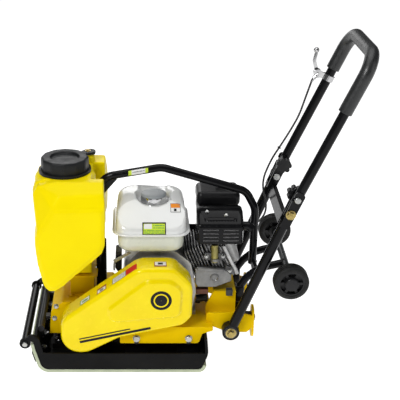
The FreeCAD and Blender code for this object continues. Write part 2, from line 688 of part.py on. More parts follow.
def spray_pipe():
    shape = ring_y((SPRAY_X, SPRAY_Z), -140, 140, SPRAY_R, SPRAY_R - 2)
    for side in SIDES:
        shape = shape.fuse(rod_y((SPRAY_X, SPRAY_Z), side * 138, side * 142, SPRAY_R))
        tab = box(SPRAY_X + 4, -196.5, side * 70 - 10, side * 70 + 10, SPRAY_Z - 4, SPRAY_Z + 4)
        shape = shape.fuse(tab)
    shape = shape.cut(box(-203 + 1, -150, -100, 100, 78, 200))
    for i in range(13):
        y = -120 + 20 * i
        shape = shape.cut(rod((SPRAY_X, y, SPRAY_Z), (SPRAY_X - 9, y, SPRAY_Z - 9), 1.5))
    return shape.removeSplitter()


# ---- belt guard -------------------------------------------------------------------------------
GUARD_OUTLINE = [(-166, 150), (-166, 68), (-100, 54), (-4, 106), (30, 114), (172, 146), (197, 172),
                 (197, 270), (146, 321), (50, 321), (-150, 172)]
GUARD_RADII = [40, 55, 60, 60, 60, 30, 30, 50, 40, 60, 40]
ISLAND = [(-30, 196), (-22, 168), (160, 182), (162, 262), (132, 278), (74, 278)]
ISLAND_RADII = [18, 14, 16, 26, 24, 30]


def guard_form(inset, face, back):
    outline = [V(x, face, z) for x, z in GUARD_OUTLINE]
    wire = Part.Wire(rounded_edges(outline, GUARD_RADII, True))
    if inset:
        wire = wire.makeOffset2D(-inset)
    solid = Part.Face(wire).extrude(V(0, back - face, 0))
    front = [e for e in solid.Edges if abs(e.BoundBox.YMin - face) < 0.01
             and abs(e.BoundBox.YMax - face) < 0.01]
    return solid.makeFillet(12 - inset, front)


def belt_guard():
    outer = guard_form(0, GUARD_FACE, GUARD_BACK)
    island = plate_xz(ISLAND, GUARD_FACE - 6, GUARD_FACE + 4, ISLAND_RADII)
    front = [e for e in island.Edges if abs(e.BoundBox.YMax - (GUARD_FACE - 6)) < 0.01]
    shape = outer.fuse(island.makeFillet(5.5, front))
    shape = shape.cut(guard_form(GUARD_T, GUARD_FACE + GUARD_T, GUARD_BACK + 5))
    shape = shape.cut(box(-6, 300, -DECK_HALF - 2.5, -80, 40, DECK_TOP + 2))
    shape = shape.cut(rod_y(CRANK, -105, -95, 62)).cut(rod_y(EXCITER, -105, -95, 44))
    return shape


# ---- engine -----------------------------------------------------------------------------------
CASE_NEAR, CASE_FAR = -84.0, 60.0
CASE_WALL = 8.0
MAIN_R = 12.5
PTO_R = 9.5


def crankcase():
    outline = [(14, DECK_TOP + 4), (200, DECK_TOP + 4), (212, 205), (196, 292), (150, 330),
               (52, 330), (12, 286), (4, 200)]
    shape = plate_xz(outline, CASE_NEAR + 8, CASE_FAR, [10, 14, 24, 24, 30, 30, 24, 24])
    shape = shape.fuse(box(6, 212, -78, 78, DECK_TOP, DECK_TOP + ENGINE_FOOT_T))
    cover = plate_xz([(24, 142), (190, 142), (196, 240), (160, 306), (54, 306), (16, 240)],
                     CASE_NEAR, CASE_NEAR + 9, 24)
    shape = shape.fuse(cover).fuse(rod_y(CRANK, CASE_NEAR - 5, CASE_NEAR + 4, 32))
    for i in range(6):
        turn = math.radians(60 * i + 20)
        spot = (CRANK[0] + 66 * math.cos(turn), CRANK[1] + 66 * math.sin(turn))
        shape = shape.fuse(rod_y(spot, CASE_NEAR - 6, CASE_NEAR + 1, 6))
    shape = shape.cut(rod_y(CRANK, CASE_NEAR + 18, CASE_FAR - CASE_WALL, 66))
    shape = shape.cut(rod_y(CRANK, CASE_NEAR - 10, CASE_FAR + 10, MAIN_R + RUNNING))
    for x, y in ENGINE_BOLTS:
        seat = (x, y, DECK_TOP + ENGINE_FOOT_T)
        pocket = rod(seat, (x, y, seat[2] + 24), 10)
        shape = shape.cut(pocket).cut(hole(seat, (0, 0, 1), ENGINE_BOLT, 20))
    bore = tilted(Part.makeCylinder(34, 200, V(*CRANK[:1], 0, CRANK[1]) + V(60, -10, 0), V(1, 0, 0)))
    return shape.cut(bore).removeSplitter()


def cylinder():
    x, z = CRANK
    barrel = Part.makeCylinder(44, 62, V(x + 92, -10, z), V(1, 0, 0))
    shape = barrel
    for i in range(7):
        fin_x = x + 98 + 8 * i
        fin = box(fin_x, fin_x + 2.6, -72, 52, z - 56, z + 56)
        shape = shape.fuse(fin.makeFillet(1, [e for e in fin.Edges if e.Length < 3]))
    head = box(x + 152, x + 188, -68, 48, z - 52, z + 52)
    shape = shape.fuse(head.makeFillet(6, head.Edges))
    for i in range(4):
        fin_x = x + 157 + 8 * i
        shape = shape.fuse(box(fin_x, fin_x + 2.6, -76, 56, z - 60, z + 60))
    shape = shape.cut(Part.makeCylinder(34, 110, V(x + 40, -10, z), V(1, 0, 0)))
    shape = tilted(shape)
    plug_hole = tilted(rod((x + 178, 70, z), (x + 178, 20, z), 9))
    shape = shape.cut(plug_hole)
    return shape.cut(crankcase_envelope()).removeSplitter()


def crankcase_envelope():
    outline = [(4, DECK_TOP), (203, DECK_TOP), (212.3, 205), (196.3, 292.2), (150.3, 330.3),
               (52, 330.3), (4, 286)]
    return plate_xz(outline, CASE_NEAR - 10, CASE_FAR + 10)


def rocker_cover():
    x, z = CRANK
    shape = box(x + 188.1, x + 232, -52, 34, z - 38, z + 38)
    shape = shape.makeFillet(9, [e for e in shape.Edges if e.BoundBox.XMax > x + 200])
    flange = box(x + 188.1, x + 193, -56, 38, z - 42, z + 42)
    return tilted(shape.fuse(flange).removeSplitter())


def fan_housing():
    low, high = CASE_FAR + 0.2, CASE_FAR + 68
    outer = rod_y(CRANK, low, high, 98)
    outer = outer.fuse(tilted(box(CRANK[0], CRANK[0] + 150, low, high - 20, CRANK[1] - 60,
                                  CRANK[1] + 62)))
    outer = outer.fuse(box(20, 70, low, high, 284, 334))
    recoil = rod_y(CRANK, high - 1, high + 22, 84)
    edge = [e for e in recoil.Edges if len(e.Vertexes) == 1 and e.BoundBox.YMin > high + 21]
    shape = outer.fuse(recoil.makeFillet(8, edge))
    inner = rod_y(CRANK, low - 1, high - 3, 95)
    inner = inner.fuse(tilted(box(CRANK[0], CRANK[0] + 151, low - 1, high - 23, CRANK[1] - 57,
                                  CRANK[1] + 59)))
    shape = shape.cut(inner).cut(rod_y(CRANK, high - 5, high + 10, 76))
    for i in range(12):
        slot = box(CRANK[0] + 38, CRANK[0] + 70, high, high + 40, CRANK[1] - 4, CRANK[1] + 4)
        shape = shape.cut(slot.rotated(V(CRANK[0], 0, CRANK[1]), V(0, 1, 0), 30.0 * i + 15))
    shape = shape.cut(box(-100, 300, low - 5, high + 40, 60, DECK_TOP + 13))
    shape = shape.cut(fuel_tank_space()).cut(box(180, 330, low - 5, high, 330, 420))
    x, z, y, radius = CONTROLS["engine_switch"]
    shape = shape.cut(rod_y((x, z), y - 12, y + 12, radius + RUNNING))
    return shape.removeSplitter()


def fuel_tank_space():
    return box(-40, 214, -130, 104, 331, 500)


TANK_LOW, TANK_SEAM, TANK_HIGH = 334.0, 394.0, 471.0
WELL_FLOOR = 446.0            # the fuel cap sits in a round well in the tank's top
CHANNEL_FLOOR = 458.0         # and the well drains over the far edge through a channel
FUEL_CAP = (92.0, 0.0)


def fuel_form(inset):
    i = inset
    low = plate_xy([(1 + i, -106 + i), (166 - i, -106 + i), (166 - i, 92 - i), (1 + i, 92 - i)],
                   TANK_LOW + i, TANK_SEAM + 1, 34 - i)
    high = plate_xy([(-14 + i, -114 + i), (183 - i, -114 + i), (183 - i, 98 - i),
                     (-14 + i, 98 - i)], TANK_SEAM, TANK_HIGH - i, 42 - i)
    top = [e for e in high.Edges if e.BoundBox.ZMin > TANK_HIGH - i - 0.1]
    shape = low.fuse(high.makeFillet(26 - i, top))
    x, y = FUEL_CAP
    return shape.cut(box(x - 34 - i, x + 34 + i, y, 120, CHANNEL_FLOOR - i, TANK_HIGH + 5))


def fuel_tank():
    x, y = FUEL_CAP
    shape = fuel_form(0).cut(fuel_form(2.5))
    rim = plate_xy([(-22, -122), (191, -122), (191, 98), (-22, 98)], TANK_SEAM - 3, TANK_SEAM + 1,
                   48)
    shape = shape.fuse(rim.cut(fuel_form(1)))
    wall = rod((x, y, WELL_FLOOR - 3), (x, y, TANK_HIGH), 52.5)
    wall = wall.cut(box(x - 34, x + 34, y, 120, CHANNEL_FLOOR, TANK_HIGH + 5))
    shape = shape.fuse(wall).cut(rod((x, y, WELL_FLOOR), (x, y, TANK_HIGH + 5), 50))
    shape = shape.fuse(rod((x, y, WELL_FLOOR - 3), (x, y, WELL_FLOOR + 10), 27))
    shape = shape.cut(rod((x, y, WELL_FLOOR - 5), (x, y, WELL_FLOOR + 20), 24))
    return shape.removeSplitter()


def fuel_cap():
    x, y = FUEL_CAP
    low, high = WELL_FLOOR + 2, WELL_FLOOR + 27
    shape = rod((x, y, low), (x, y, high), 35.5)
    top = [e for e in shape.Edges if len(e.Vertexes) == 1 and e.BoundBox.ZMin > high - 1]
    shape = shape.makeFillet(4, top)
    for i in range(8):
        turn = math.radians(45 * i)
        spot = (x + 39 * math.cos(turn), y + 39 * math.sin(turn))
        shape = shape.cut(rod((*spot, low - 1), (*spot, high - 7), 7))
    return shape.cut(rod((x, y, low - 1), (x, y, high - 4), 28)).removeSplitter()


def muffler():
    can = block(228, 322, -82, -20, 372, 428, 14)
    pipe = bent_tube([(272, -64, 374), (272, -64, 330), (276, -50, 318)], [0, 12, 0], 11)
    outlet = bent_tube([(318, -62, 400), (352, -66, 402), (364, -70, 394)], [0, 14, 0], 12, 2)
    shape = can.fuse(pipe).fuse(outlet)
    return shape.cut(cylinder_space()).removeSplitter()


def cylinder_space():
    x, z = CRANK
    return tilted(box(x + 80, x + 240, -80, 60, z - 64, z + 62))


def muffler_guard():
    outer = plate_yz([(-94, 354), (-8, 358), (-8, 442), (-66, 438), (-94, 414)], 210, 338,
                     [4, 4, 6, 10, 6])
    inner = plate_yz([(-92, 340), (-10, 340), (-10, 440), (-65.5, 436), (-92, 413)], 212, 336,
                     [2, 2, 4, 8, 4])
    shape = outer.cut(inner)
    for column in (222.0, 278.0):
        for row in range(4):
            z = 366 + 11.5 * row
            shape = shape.cut(box(column, column + 46, -100, -88, z, z + 4))
    for i in range(15):
        shape = shape.cut(box(220 + 7.4 * i, 224 + 7.4 * i, -60, -14, 430, 450))
    shape = shape.cut(rod((330, -62, 400), (345, -62, 400), 16))
    return shape.cut(box(205, 260, -100, 0, 340, 362)).removeSplitter()


def air_cleaner_base():
    base = block(216, 334, 14, 104, 392, 424, 6)
    elbow = rod((244, 82, 350.1), (244, 82, 394), 13)
    return base.fuse(elbow).cut(block(222, 328, 20, 98, 398, 440, 4)).removeSplitter()


def air_cleaner_cover():
    shape = block(214, 336, 12, 106, 424.3, 467, 14)
    shape = shape.cut(block(218, 332, 16, 102, 410, 463, 10))
    for i in range(5):
        shape = shape.cut(box(332, 340, 26 + 15 * i, 32 + 15 * i, 434, 452))
    shape = shape.cut(rod((280, 59, 460), (280, 59, 470), 4.4))
    return shape.removeSplitter()


def carburettor():
    body = block(226, 262, 66, 98, 318, 350, 5)
    bowl = rod((240, 82, 292), (240, 82, 320), 15)
    shape = body.fuse(bowl)
    for name in ("choke_lever", "fuel_valve_lever"):
        x, z, y, radius = CONTROLS[name]
        shape = shape.cut(rod_y((x, z), y - 12, y + 30, radius + RUNNING))
    return shape.cut(cylinder_space()).removeSplitter()


def spark_plug():
    x, z = CRANK
    plug = rod_y((x + 178, z), 22, 62, 6)
    boot = rod_y((x + 178, z), 60, 92, 10)
    nut = hex_prism((x + 178, 56.2, z), (0, 1, 0), 19, 6)
    return tilted(plug.fuse(boot).fuse(nut).removeSplitter())


def oil_plugs():
    dip = rod((214, -60, 172), (238, -60, 176), 11).fuse(rod((236, -60, 175.7), (246, -60, 177.3), 14))
    drain = rod((214, -30, 148), (228, -30, 148), 7)
    return [piece.cut(crankcase_envelope()) for piece in (dip, drain)]


CONTROLS = {                       # X, Z, Y of the seat and shaft radius of each small control
    "choke_lever": (236.0, 340.0, 98.0, 3.0),
    "fuel_valve_lever": (250.0, 326.0, 98.0, 3.0),
    "engine_switch": (38.0, 314.0, 128.4, 9.0),
    "water_valve_lever": (-222.0, 138.0, 100.0, 3.0),
}


def small_lever(name, reach_x, reach_z, width):
    """A flat lever on a round pin along Y."""
    x, z, y, radius = CONTROLS[name]
    pin = rod_y((x, z), y - 9, y + 4, radius)
    length = math.hypot(reach_x, reach_z)
    blade = box(x - 4, x + length, y + 1, y + 5, z - width / 2, z + width / 2)
    blade = blade.makeFillet(1.2, blade.Edges)
    angle = -math.degrees(math.atan2(reach_z, reach_x))
    blade = blade.rotated(V(x, 0, z), V(0, 1, 0), angle)
    return pin.fuse(blade).removeSplitter()


def engine_switch():
    x, z, y, radius = CONTROLS["engine_switch"]
    stem = rod_y((x, z), y - 6, y + 4, radius)
    grip = block(x - 11, x + 11, y + 2, y + 12, z - 3.5, z + 3.5, 1.2)
    return stem.fuse(rod_y((x, z), y + 0.4, y + 4, 12)).fuse(grip).removeSplitter()


GRIP = (84.0, 139.0, 326.0)
GRIP_PULL = (0.0, 0.6, 0.8)


def recoil_grip():
    start = V(*GRIP)
    pull = V(*GRIP_PULL)
    shape = box(-26, 26, -8, 8, 0, 22)
    shape = shape.makeFillet(7, shape.Edges)
    stem = Part.makeCylinder(5, 6, V(0, 0, -4), V(0, 0, 1))
    shape = shape.fuse(stem)
    shape = shape.rotated(V(0, 0, 0), V(1, 0, 0), -math.degrees(math.atan2(pull.y, pull.z)))
    return shape.translated(start).removeSplitter()


def crankshaft():
    shaft = rod_y(CRANK, -152, CASE_NEAR - 7, PTO_R)
    shaft = shaft.fuse(rod_y(CRANK, CASE_NEAR - 8, -44, MAIN_R))
    shaft = shaft.fuse(rod_y(CRANK, 24, CASE_FAR + 30, MAIN_R))
    pin = (CRANK[0], CRANK[1] + 22)
    for y in (-46.0, 6.0):
        web = plate_xz([(CRANK[0] - 20, CRANK[1] + 40), (CRANK[0] + 20, CRANK[1] + 40),
                        (CRANK[0] + 38, CRANK[1] - 42), (CRANK[0] - 38, CRANK[1] - 42)],
                       y, y + 20, 10)
        shaft = shaft.fuse(web)
    shaft = shaft.fuse(rod_y(pin, -30, 10, 15))
    hub = ring_y(CRANK, -127, -103, 22, PTO_R + 0.02)
    shoes = []
    for i in range(3):
        wedge = ring_y(CRANK, -125, -106, 48.5, 24)
        keep = plate_xz([(CRANK[0], CRANK[1]), (CRANK[0] + 80, CRANK[1] - 100),
                         (CRANK[0] + 80, CRANK[1] + 100)], -126, -105)
        shoes.append(wedge.common(keep).rotated(V(CRANK[0], 0, CRANK[1]), V(0, 1, 0), 120.0 * i))
    wheel = ring_y(CRANK, CASE_FAR + 6, CASE_FAR + 24, 82, MAIN_R + 0.02)
    for i in range(16):
        blade = box(CRANK[0] + 50, CRANK[0] + 84, CASE_FAR + 23, CASE_FAR + 52, CRANK[1] - 1.5,
                    CRANK[1] + 1.5)
        wheel = wheel.fuse(blade.rotated(V(CRANK[0], 0, CRANK[1]), V(0, 1, 0), 22.5 * i))
    end_bolt = bolt((CRANK[0], -152.1, CRANK[1]), (0, -1, 0), 8, 0.1, 13)
    return [shaft.removeSplitter(), hub] + shoes + [wheel.removeSplitter(), end_bolt]


def clutch_drum():
    drum = grooved(CRANK, CLUTCH_PITCH_R, -150, -130)
    cup = ring_y(CRANK, -131, -102, 56, 50)
    drum = drum.fuse(cup)
    return drum.cut(rod_y(CRANK, -160, -120, PTO_R + RUNNING)).removeSplitter()


def engine_bolts():
    bolts = []
    for x, y in ENGINE_BOLTS:
        seat = (x, y, DECK_TOP + ENGINE_FOOT_T)
        bolts.append(bolt(seat, (0, 0, 1), ENGINE_BOLT, ENGINE_FOOT_T + DECK_T, 13))
    stud = rod((280, 59, 426), (280, 59, 475), 3)
    wing = block(266, 294, 57, 61, 471, 480, 1.5)
    bolts.append(stud.fuse(wing).fuse(rod((280, 59, 468), (280, 59, 478), 6)).removeSplitter())
    return bolts


# ---- handle -----------------------------------------------------------------------------------
EAR_IN, EAR_OUT = 13.3, 17.3          # fold ears lie this far either side of the tube's centre
LOCK_BOLT_R = 4.0
NOTCH_R = LOCK_BOLT_R + 0.6             # open notches in the ears, for the clamping bolts
PIVOT_BOLT = 12.0


def lower_handle():
    shape = None
    direction = V(PIVOT[0] - FOOT[0], 0, PIVOT[1] - FOOT[1]).normalize()
    for side in SIDES:
        y = side * HANDLE_Y
        start = V(FOOT[0], y, FOOT[1]) + direction * 20
        stop = V(PIVOT[0], y, PIVOT[1]) - direction * 26
        leg = Part.makeCylinder(LOWER_R, (stop - start).Length, start, direction)
        leg = leg.cut(Part.makeCylinder(LOWER_R - TUBE_WALL, (stop - start).Length, start, direction))
        eye = ring_y(FOOT, y - 13, y + 13, 24, 19)
        leg = leg.fuse(eye)
        for low, high in ((-EAR_OUT, -EAR_IN), (EAR_IN, EAR_OUT)):
            outline = [(424, 440), (447, 430), (489, 528), (463, 540)]
            plate = plate_xz(outline, y + low, y + high, 9)
            leg = leg.fuse(plate)
        for low, high in ((-EAR_OUT, -10.0), (10.0, EAR_OUT)):
            leg = leg.fuse(plate_xz([(424, 440), (447, 430), (452, 441), (429, 451)],
                                    y + low, y + high, 0))
        shape = leg if shape is None else shape.fuse(leg)
    cross = box(-15, 15, -HANDLE_Y + 12, HANDLE_Y - 12, -3, 3)
    cross = cross.fuse(box(12, 15, -HANDLE_Y + 12, HANDLE_Y - 12, -12, 3))
    cross = cross.rotated(V(0, 0, 0), V(0, 1, 0), -68).translated(V(436, 0, 436))
    shape = shape.fuse(cross)
    for side in SIDES:
        y = side * HANDLE_Y
        shape = shape.cut(rod_y(PIVOT, y - 30, y + 30, PIVOT_BOLT / 2 + 0.02))
        notch = rod_y(LOCK, y - 30, y + 30, NOTCH_R)
        reach = math.hypot(LOCK[0] - PIVOT[0], LOCK[1] - PIVOT[1])
        mouth = ring_y(PIVOT, y - 30, y + 30, reach + NOTCH_R, reach - NOTCH_R)
        mouth = mouth.common(box(LOCK[0] - 60, LOCK[0], y - 31, y + 31, PIVOT[1] + 16,
                                 PIVOT[1] + reach + 20))
        shape = shape.cut(notch).cut(mouth)
        swing = rod_y(PIVOT, y - EAR_IN, y + EAR_IN, 22)
        shape = shape.cut(swing)
    return shape.removeSplitter()


def rubber_buffers():
    pieces = []
    for side in SIDES:
        y = side * HANDLE_Y
        pieces.append(ring_y(FOOT, y - 14, y + 14, 18.98, 6.4))
        x, z, by = BOBBIN
        bobbin = rod((x, side * by, z), (EAR_PLATE_X, side * by, z), 17)
        pieces.append(bobbin.cut(rod((x + 10, side * by, z), (x + 60, side * by, z), 4.4)))
    return pieces


def frame_bolts():
    bolts = []
    for side in SIDES:
        y = side * HANDLE_Y
        head = y + side * 16.1
        bolts.append(washer((FOOT[0], y + side * 14.05, FOOT[1]), (0, side, 0), 12, 30))
        bolts.append(bolt((FOOT[0], head, FOOT[1]), (0, side, 0), 12, 44, 18))
        outer = y + side * (EAR_OUT + 0.05)
        bolts.append(bolt((PIVOT[0], outer, PIVOT[1]), (0, side, 0), PIVOT_BOLT, 42, 18))
        nut = hex_prism((PIVOT[0], y - side * (EAR_OUT + 0.05), PIVOT[1]), (0, -side, 0), 18, 6)
        bolts.append(nut.cut(rod_y(PIVOT, -200, 200, PIVOT_BOLT / 2 + 0.02)))
        _, z, by = BOBBIN
        bolts.append(bolt((EAR_PLATE_X + 6, side * by, z), (1, 0, 0), 8, 20, 16))
        bolts.append(bolt((REAR_WALL_X, side * ARM_Y, 190), (-1, 0, 0), 10, 12, 17))
    return bolts


def handle_line(height):
    """The upper handle's X at a height, on its straight legs."""
    part = (height - PIVOT[1]) / (TOP_BAR[1] - PIVOT[1])
    return PIVOT[0] + part * (TOP_BAR[0] - PIVOT[0])


def upper_handle():
    foot_z = PIVOT[1] - 12
    route = [(handle_line(foot_z), -HANDLE_Y, foot_z), (TOP_BAR[0], -HANDLE_Y, TOP_BAR[1]),
             (TOP_BAR[0], HANDLE_Y, TOP_BAR[1]), (handle_line(foot_z), HANDLE_Y, foot_z)]
    shape = bent_tube(route, [0, TOP_BEND, TOP_BEND, 0], UPPER_R, TUBE_WALL)
    for side in SIDES:
        y = side * HANDLE_Y
        shape = shape.cut(rod_y(PIVOT, y - 20, y + 20, PIVOT_BOLT / 2 + RUNNING))
        shape = shape.cut(rod_y(LOCK, y - 20, y + 20, LOCK_BOLT_R + 0.1))
    return shape


def foam_grip():
    left_z, right_z = 750.0, 790.0
    route = [(handle_line(left_z), -HANDLE_Y, left_z), (TOP_BAR[0], -HANDLE_Y, TOP_BAR[1]),
             (TOP_BAR[0], HANDLE_Y, TOP_BAR[1]), (handle_line(right_z), HANDLE_Y, right_z)]
    return bent_tube(route, [0, TOP_BEND, TOP_BEND, 0], FOAM_R, FOAM_R - UPPER_R - 0.1)


def lock_bolts():
    def one(side):
        y = side * HANDLE_Y
        outer = y + side * (EAR_OUT + 0.4)
        head = rod_y(LOCK, outer, outer + side * 5, 9)
        edge = [e for e in head.Edges if len(e.Vertexes) == 1
                and abs(e.BoundBox.YMin - (outer + side * 5)) < 0.1]
        head = head.makeFillet(3, edge)
        return head.fuse(rod_y(LOCK, outer, y - side * 36, LOCK_BOLT_R)).removeSplitter()
    return at_sides(one)


def lock_knob(side):
    start = side * (HANDLE_Y - EAR_OUT - 0.5)
    stop = start - side * 24
    shape = rod_y(LOCK, start, stop, 17)
    for i in range(7):
        turn = 2 * math.pi * i / 7
        spot = (LOCK[0] + 15.5 * math.cos(turn), LOCK[1] + 15.5 * math.sin(turn))
        shape = shape.fuse(rod_y(spot, start - side * 4, stop, 7))
    return shape.cut(rod_y(LOCK, start, start - side * 20, LOCK_BOLT_R + 0.02)).removeSplitter()


LEVER_Z = 765.0
LEVER_PIN_R = 4.0


def lever_place():
    """Clamp centre on the right tube, and the lever's pin beside it, X and Z."""
    x = handle_line(LEVER_Z)
    return (x, LEVER_Z), (x - 30.0, LEVER_Z + 13.0)


def along_tube(shape):
    """Stands a shape drawn about +Z at the clamp's centre onto the handle's slope."""
    lean = math.degrees(math.atan2(TOP_BAR[0] - PIVOT[0], TOP_BAR[1] - PIVOT[1]))
    return shape.rotated(V(0, 0, 0), V(0, 1, 0), lean).translated(
        V(lever_place()[0][0], HANDLE_Y, LEVER_Z))


def throttle_clamp():
    band_ring = Part.makeCylinder(17, 16, V(0, 0, -8), V(0, 0, 1))
    lug = box(-34, -12, -7, 3, -8, 8)
    shape = band_ring.fuse(lug).cut(Part.makeCylinder(UPPER_R + 0.05, 30, V(0, 0, -15), V(0, 0, 1)))
    shape = along_tube(shape)
    pin = lever_place()[1]
    shape = shape.fuse(rod_y(pin, HANDLE_Y - 8, HANDLE_Y + 3, 12))
    shape = shape.fuse(rod_y(pin, HANDLE_Y - 10, HANDLE_Y + 12, LEVER_PIN_R))
    return shape.removeSplitter()


def throttle_lever():
    pin = lever_place()[1]
    y0 = HANDLE_Y + 3.4
    hub = rod_y(pin, y0, y0 + 5, 12)
    x, z = pin
    blade = plate_xz([(x - 8, z + 4), (x + 2, z + 9), (x - 6, z + 34), (x - 2, z + 60),
                      (x - 10, z + 62), (x - 16, z + 34)], y0, y0 + 3, [0, 0, 20, 3, 3, 24])
    knob = Part.makeSphere(8, V(x - 7, y0 + 1.5, z + 64))
    shape = hub.fuse(blade).fuse(knob)
    return shape.cut(rod_y(pin, y0 - 5, y0 + 20, LEVER_PIN_R + RUNNING)).removeSplitter()


# ---- throttle cable: from the lever down the right tube to the carburettor --------------------
CABLE_R = 2.8
CABLE_UPPER = [(536, 132, 762), (527, 128, 735), (516, 124, 700), (504, 121, 660),
               (482, 121, 615), (458, 120, 572), (436, 118, 536), (422.2, 115, 504.5)]
CABLE_LOWER = [(422, 115, 504), (412, 112, 476), (410, 107, 444), (420, 100, 410),
               (422, 92, 376), (404, 86, 348), (376, 92, 330), (346, 100, 322), (316, 108, 322),
               (288, 112, 328)]


def limp(route):
    """Arc radii for a cable route: as large as the two runs at each point allow."""
    radii = [0.0]
    for a, b, c in zip(route, route[1:], route[2:]):
        back, ahead = V(*b) - V(*a), V(*c) - V(*b)
        turn = max(back.getAngle(ahead), 0.01)
        radii.append(0.45 * min(back.Length, ahead.Length) / math.tan(turn / 2))
    radii.append(0.0)
    return radii


def cable(route):
    radii = limp(route)
    print("cable radii:", [round(r) for r in radii[1:-1]])
    shape = bent_tube(route, radii, CABLE_R)
    expected = math.pi * CABLE_R ** 2 * path(route, radii).Length
    print(f"cable volume {shape.Volume:.0f}, section times length {expected:.0f}")
    return shape


def water_hose():
    radii = [0, 24, 30, 20, 0]
    return bent_tube(HOSE, radii, HOSE_R - 0.1)


def water_valve():
    body = rod((-222, 84, 148), (-222, 84, SPRAY_Z + SPRAY_R - 0.5), 9.5)
    x, z, y, radius = CONTROLS["water_valve_lever"]
    body = body.fuse(rod_y((x, z), 84, y, 6))
    body = body.cut(rod_y((x, z), y - 12, y + 12, radius + RUNNING))
    return body.cut(rod_y((SPRAY_X, SPRAY_Z), 60, 110, SPRAY_R + 0.02)).removeSplitter()


def main():
    save("base_plate", base_plate())
    save("base_pad", base_pad())
    save("pad_clamp", pad_clamp())
    save("front_bar", front_bar())
    save("exciter_housing", exciter_housing())
    save("exciter_covers", *exciter_covers())
    save("exciter_bearings", *exciter_bearings())
    save("exciter_shaft", exciter_shaft())
    save("exciter_pulley", *exciter_pulley())
    save("v_belt", v_belt())
    save("shock_mounts", *shock_mounts())
    save("engine_deck", engine_deck())
    save("chassis_bolts", *chassis_bolts())
    save("tank_support", tank_support())
    save("roll_frame", roll_frame())
    save("wheel_arms", wheel_arms())
    save("wheel_axle", wheel_axle())
    save("wheel_left", wheel_body(-1))
    save("wheel_right", wheel_body(1))
    save("tyre_left", tyre(-1))
    save("tyre_right", tyre(1))
    save("water_tank", water_tank())
    save("water_tank_cap", water_tank_cap())
    save("spray_pipe", spray_pipe())
    save("water_hose", water_hose())
    save("water_valve", water_valve())
    save("belt_guard", belt_guard())
    save("crankcase", crankcase())
    save("cylinder", cylinder())
    save("rocker_cover", rocker_cover())
    save("fan_housing", fan_housing())
    save("fuel_tank", fuel_tank())
    save("fuel_cap", fuel_cap())
    save("muffler", muffler())
    save("muffler_guard", muffler_guard())
    save("air_cleaner_base", air_cleaner_base())
    save("air_cleaner_cover", air_cleaner_cover())
    save("carburettor", carburettor())
    save("spark_plug", spark_plug())
    save("oil_plugs", *oil_plugs())
    save("choke_lever", small_lever("choke_lever", -14, 24, 7))
    save("fuel_valve_lever", small_lever("fuel_valve_lever", 26, -4, 7))
    save("water_valve_lever", small_lever("water_valve_lever", -24, 6, 9))
    save("engine_switch", engine_switch())
    save("recoil_grip", recoil_grip())
    save("crankshaft", *crankshaft())
    save("clutch_drum", clutch_drum())
    save("engine_bolts", *engine_bolts())
    save("lower_handle", lower_handle())
    save("rubber_buffers", *rubber_buffers())
    save("frame_bolts", *frame_bolts())
    save("upper_handle", upper_handle())
    save("foam_grip", foam_grip())
    save("lock_bolts", *lock_bolts())
    save("lock_knob_left", lock_knob(-1))
    save("lock_knob_right", lock_knob(1))
    save("throttle_clamp", throttle_clamp())
    save("throttle_lever", throttle_lever())
    save("throttle_cable_upper", cable(CABLE_UPPER))
    save("throttle_cable_lower", cable(CABLE_LOWER))


main()
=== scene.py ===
"""Looks of a plate compactor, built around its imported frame: +X towards the handle, +Z up.

Blender works in metres. Shapes are given in millimetres and scaled by MM.
"""
import json
import math

import bmesh
import bpy
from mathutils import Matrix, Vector, geometry
from mathutils.bvhtree import BVHTree


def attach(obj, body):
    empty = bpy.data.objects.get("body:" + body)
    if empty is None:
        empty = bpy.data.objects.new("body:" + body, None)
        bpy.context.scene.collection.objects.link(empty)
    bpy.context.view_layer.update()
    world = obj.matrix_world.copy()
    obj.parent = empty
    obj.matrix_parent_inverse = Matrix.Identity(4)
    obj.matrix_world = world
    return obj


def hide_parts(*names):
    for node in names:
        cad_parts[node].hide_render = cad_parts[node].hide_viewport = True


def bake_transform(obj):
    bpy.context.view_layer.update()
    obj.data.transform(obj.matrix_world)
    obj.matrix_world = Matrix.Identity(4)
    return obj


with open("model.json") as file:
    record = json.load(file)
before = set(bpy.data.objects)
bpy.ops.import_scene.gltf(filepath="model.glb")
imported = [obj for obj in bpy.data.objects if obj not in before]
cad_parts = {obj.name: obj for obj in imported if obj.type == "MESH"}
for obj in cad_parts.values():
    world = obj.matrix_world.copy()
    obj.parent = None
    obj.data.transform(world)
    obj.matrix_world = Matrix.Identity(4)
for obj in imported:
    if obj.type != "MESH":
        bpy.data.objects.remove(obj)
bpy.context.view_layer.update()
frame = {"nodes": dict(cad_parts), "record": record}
NODES = frame["nodes"]
CHASSIS, HANDLE = "chassis", "handle"
MM = 0.001
SIDES = (-1, 1)

# ---- camera, light and floor --------------------------------------------------------------------
CAMERA_AT = (0.040, -2.515, 1.503)
CAMERA_TURN = (math.radians(67.3), 0.0, 0.0)
CAMERA_LENS = 87.75
CAMERA_SHIFT = 0.1625
WORLD_STRENGTH = 0.12
LIT_POINT = (0.15, 0, 0.4)       # the lamps point here
STAGE_HALF = 30.0                # half the floor's side, and the height of the wall round it
FLOOR_GLOW = 0.95


def make_camera():
    data = bpy.data.cameras.new("camera")
    data.lens = CAMERA_LENS
    data.shift_x = CAMERA_SHIFT
    camera = bpy.data.objects.new("camera", data)
    camera.location = CAMERA_AT
    camera.rotation_euler = CAMERA_TURN
    bpy.context.collection.objects.link(camera)
    bpy.context.scene.camera = camera


def area_light(name, place, size, power):
    data = bpy.data.lights.new(name, "AREA")
    data.size = size
    data.energy = power
    light = bpy.data.objects.new(name, data)
    light.location = place
    light.rotation_euler = (Vector(LIT_POINT) - Vector(place)).to_track_quat("-Z", "Y").to_euler()
    bpy.context.collection.objects.link(light)


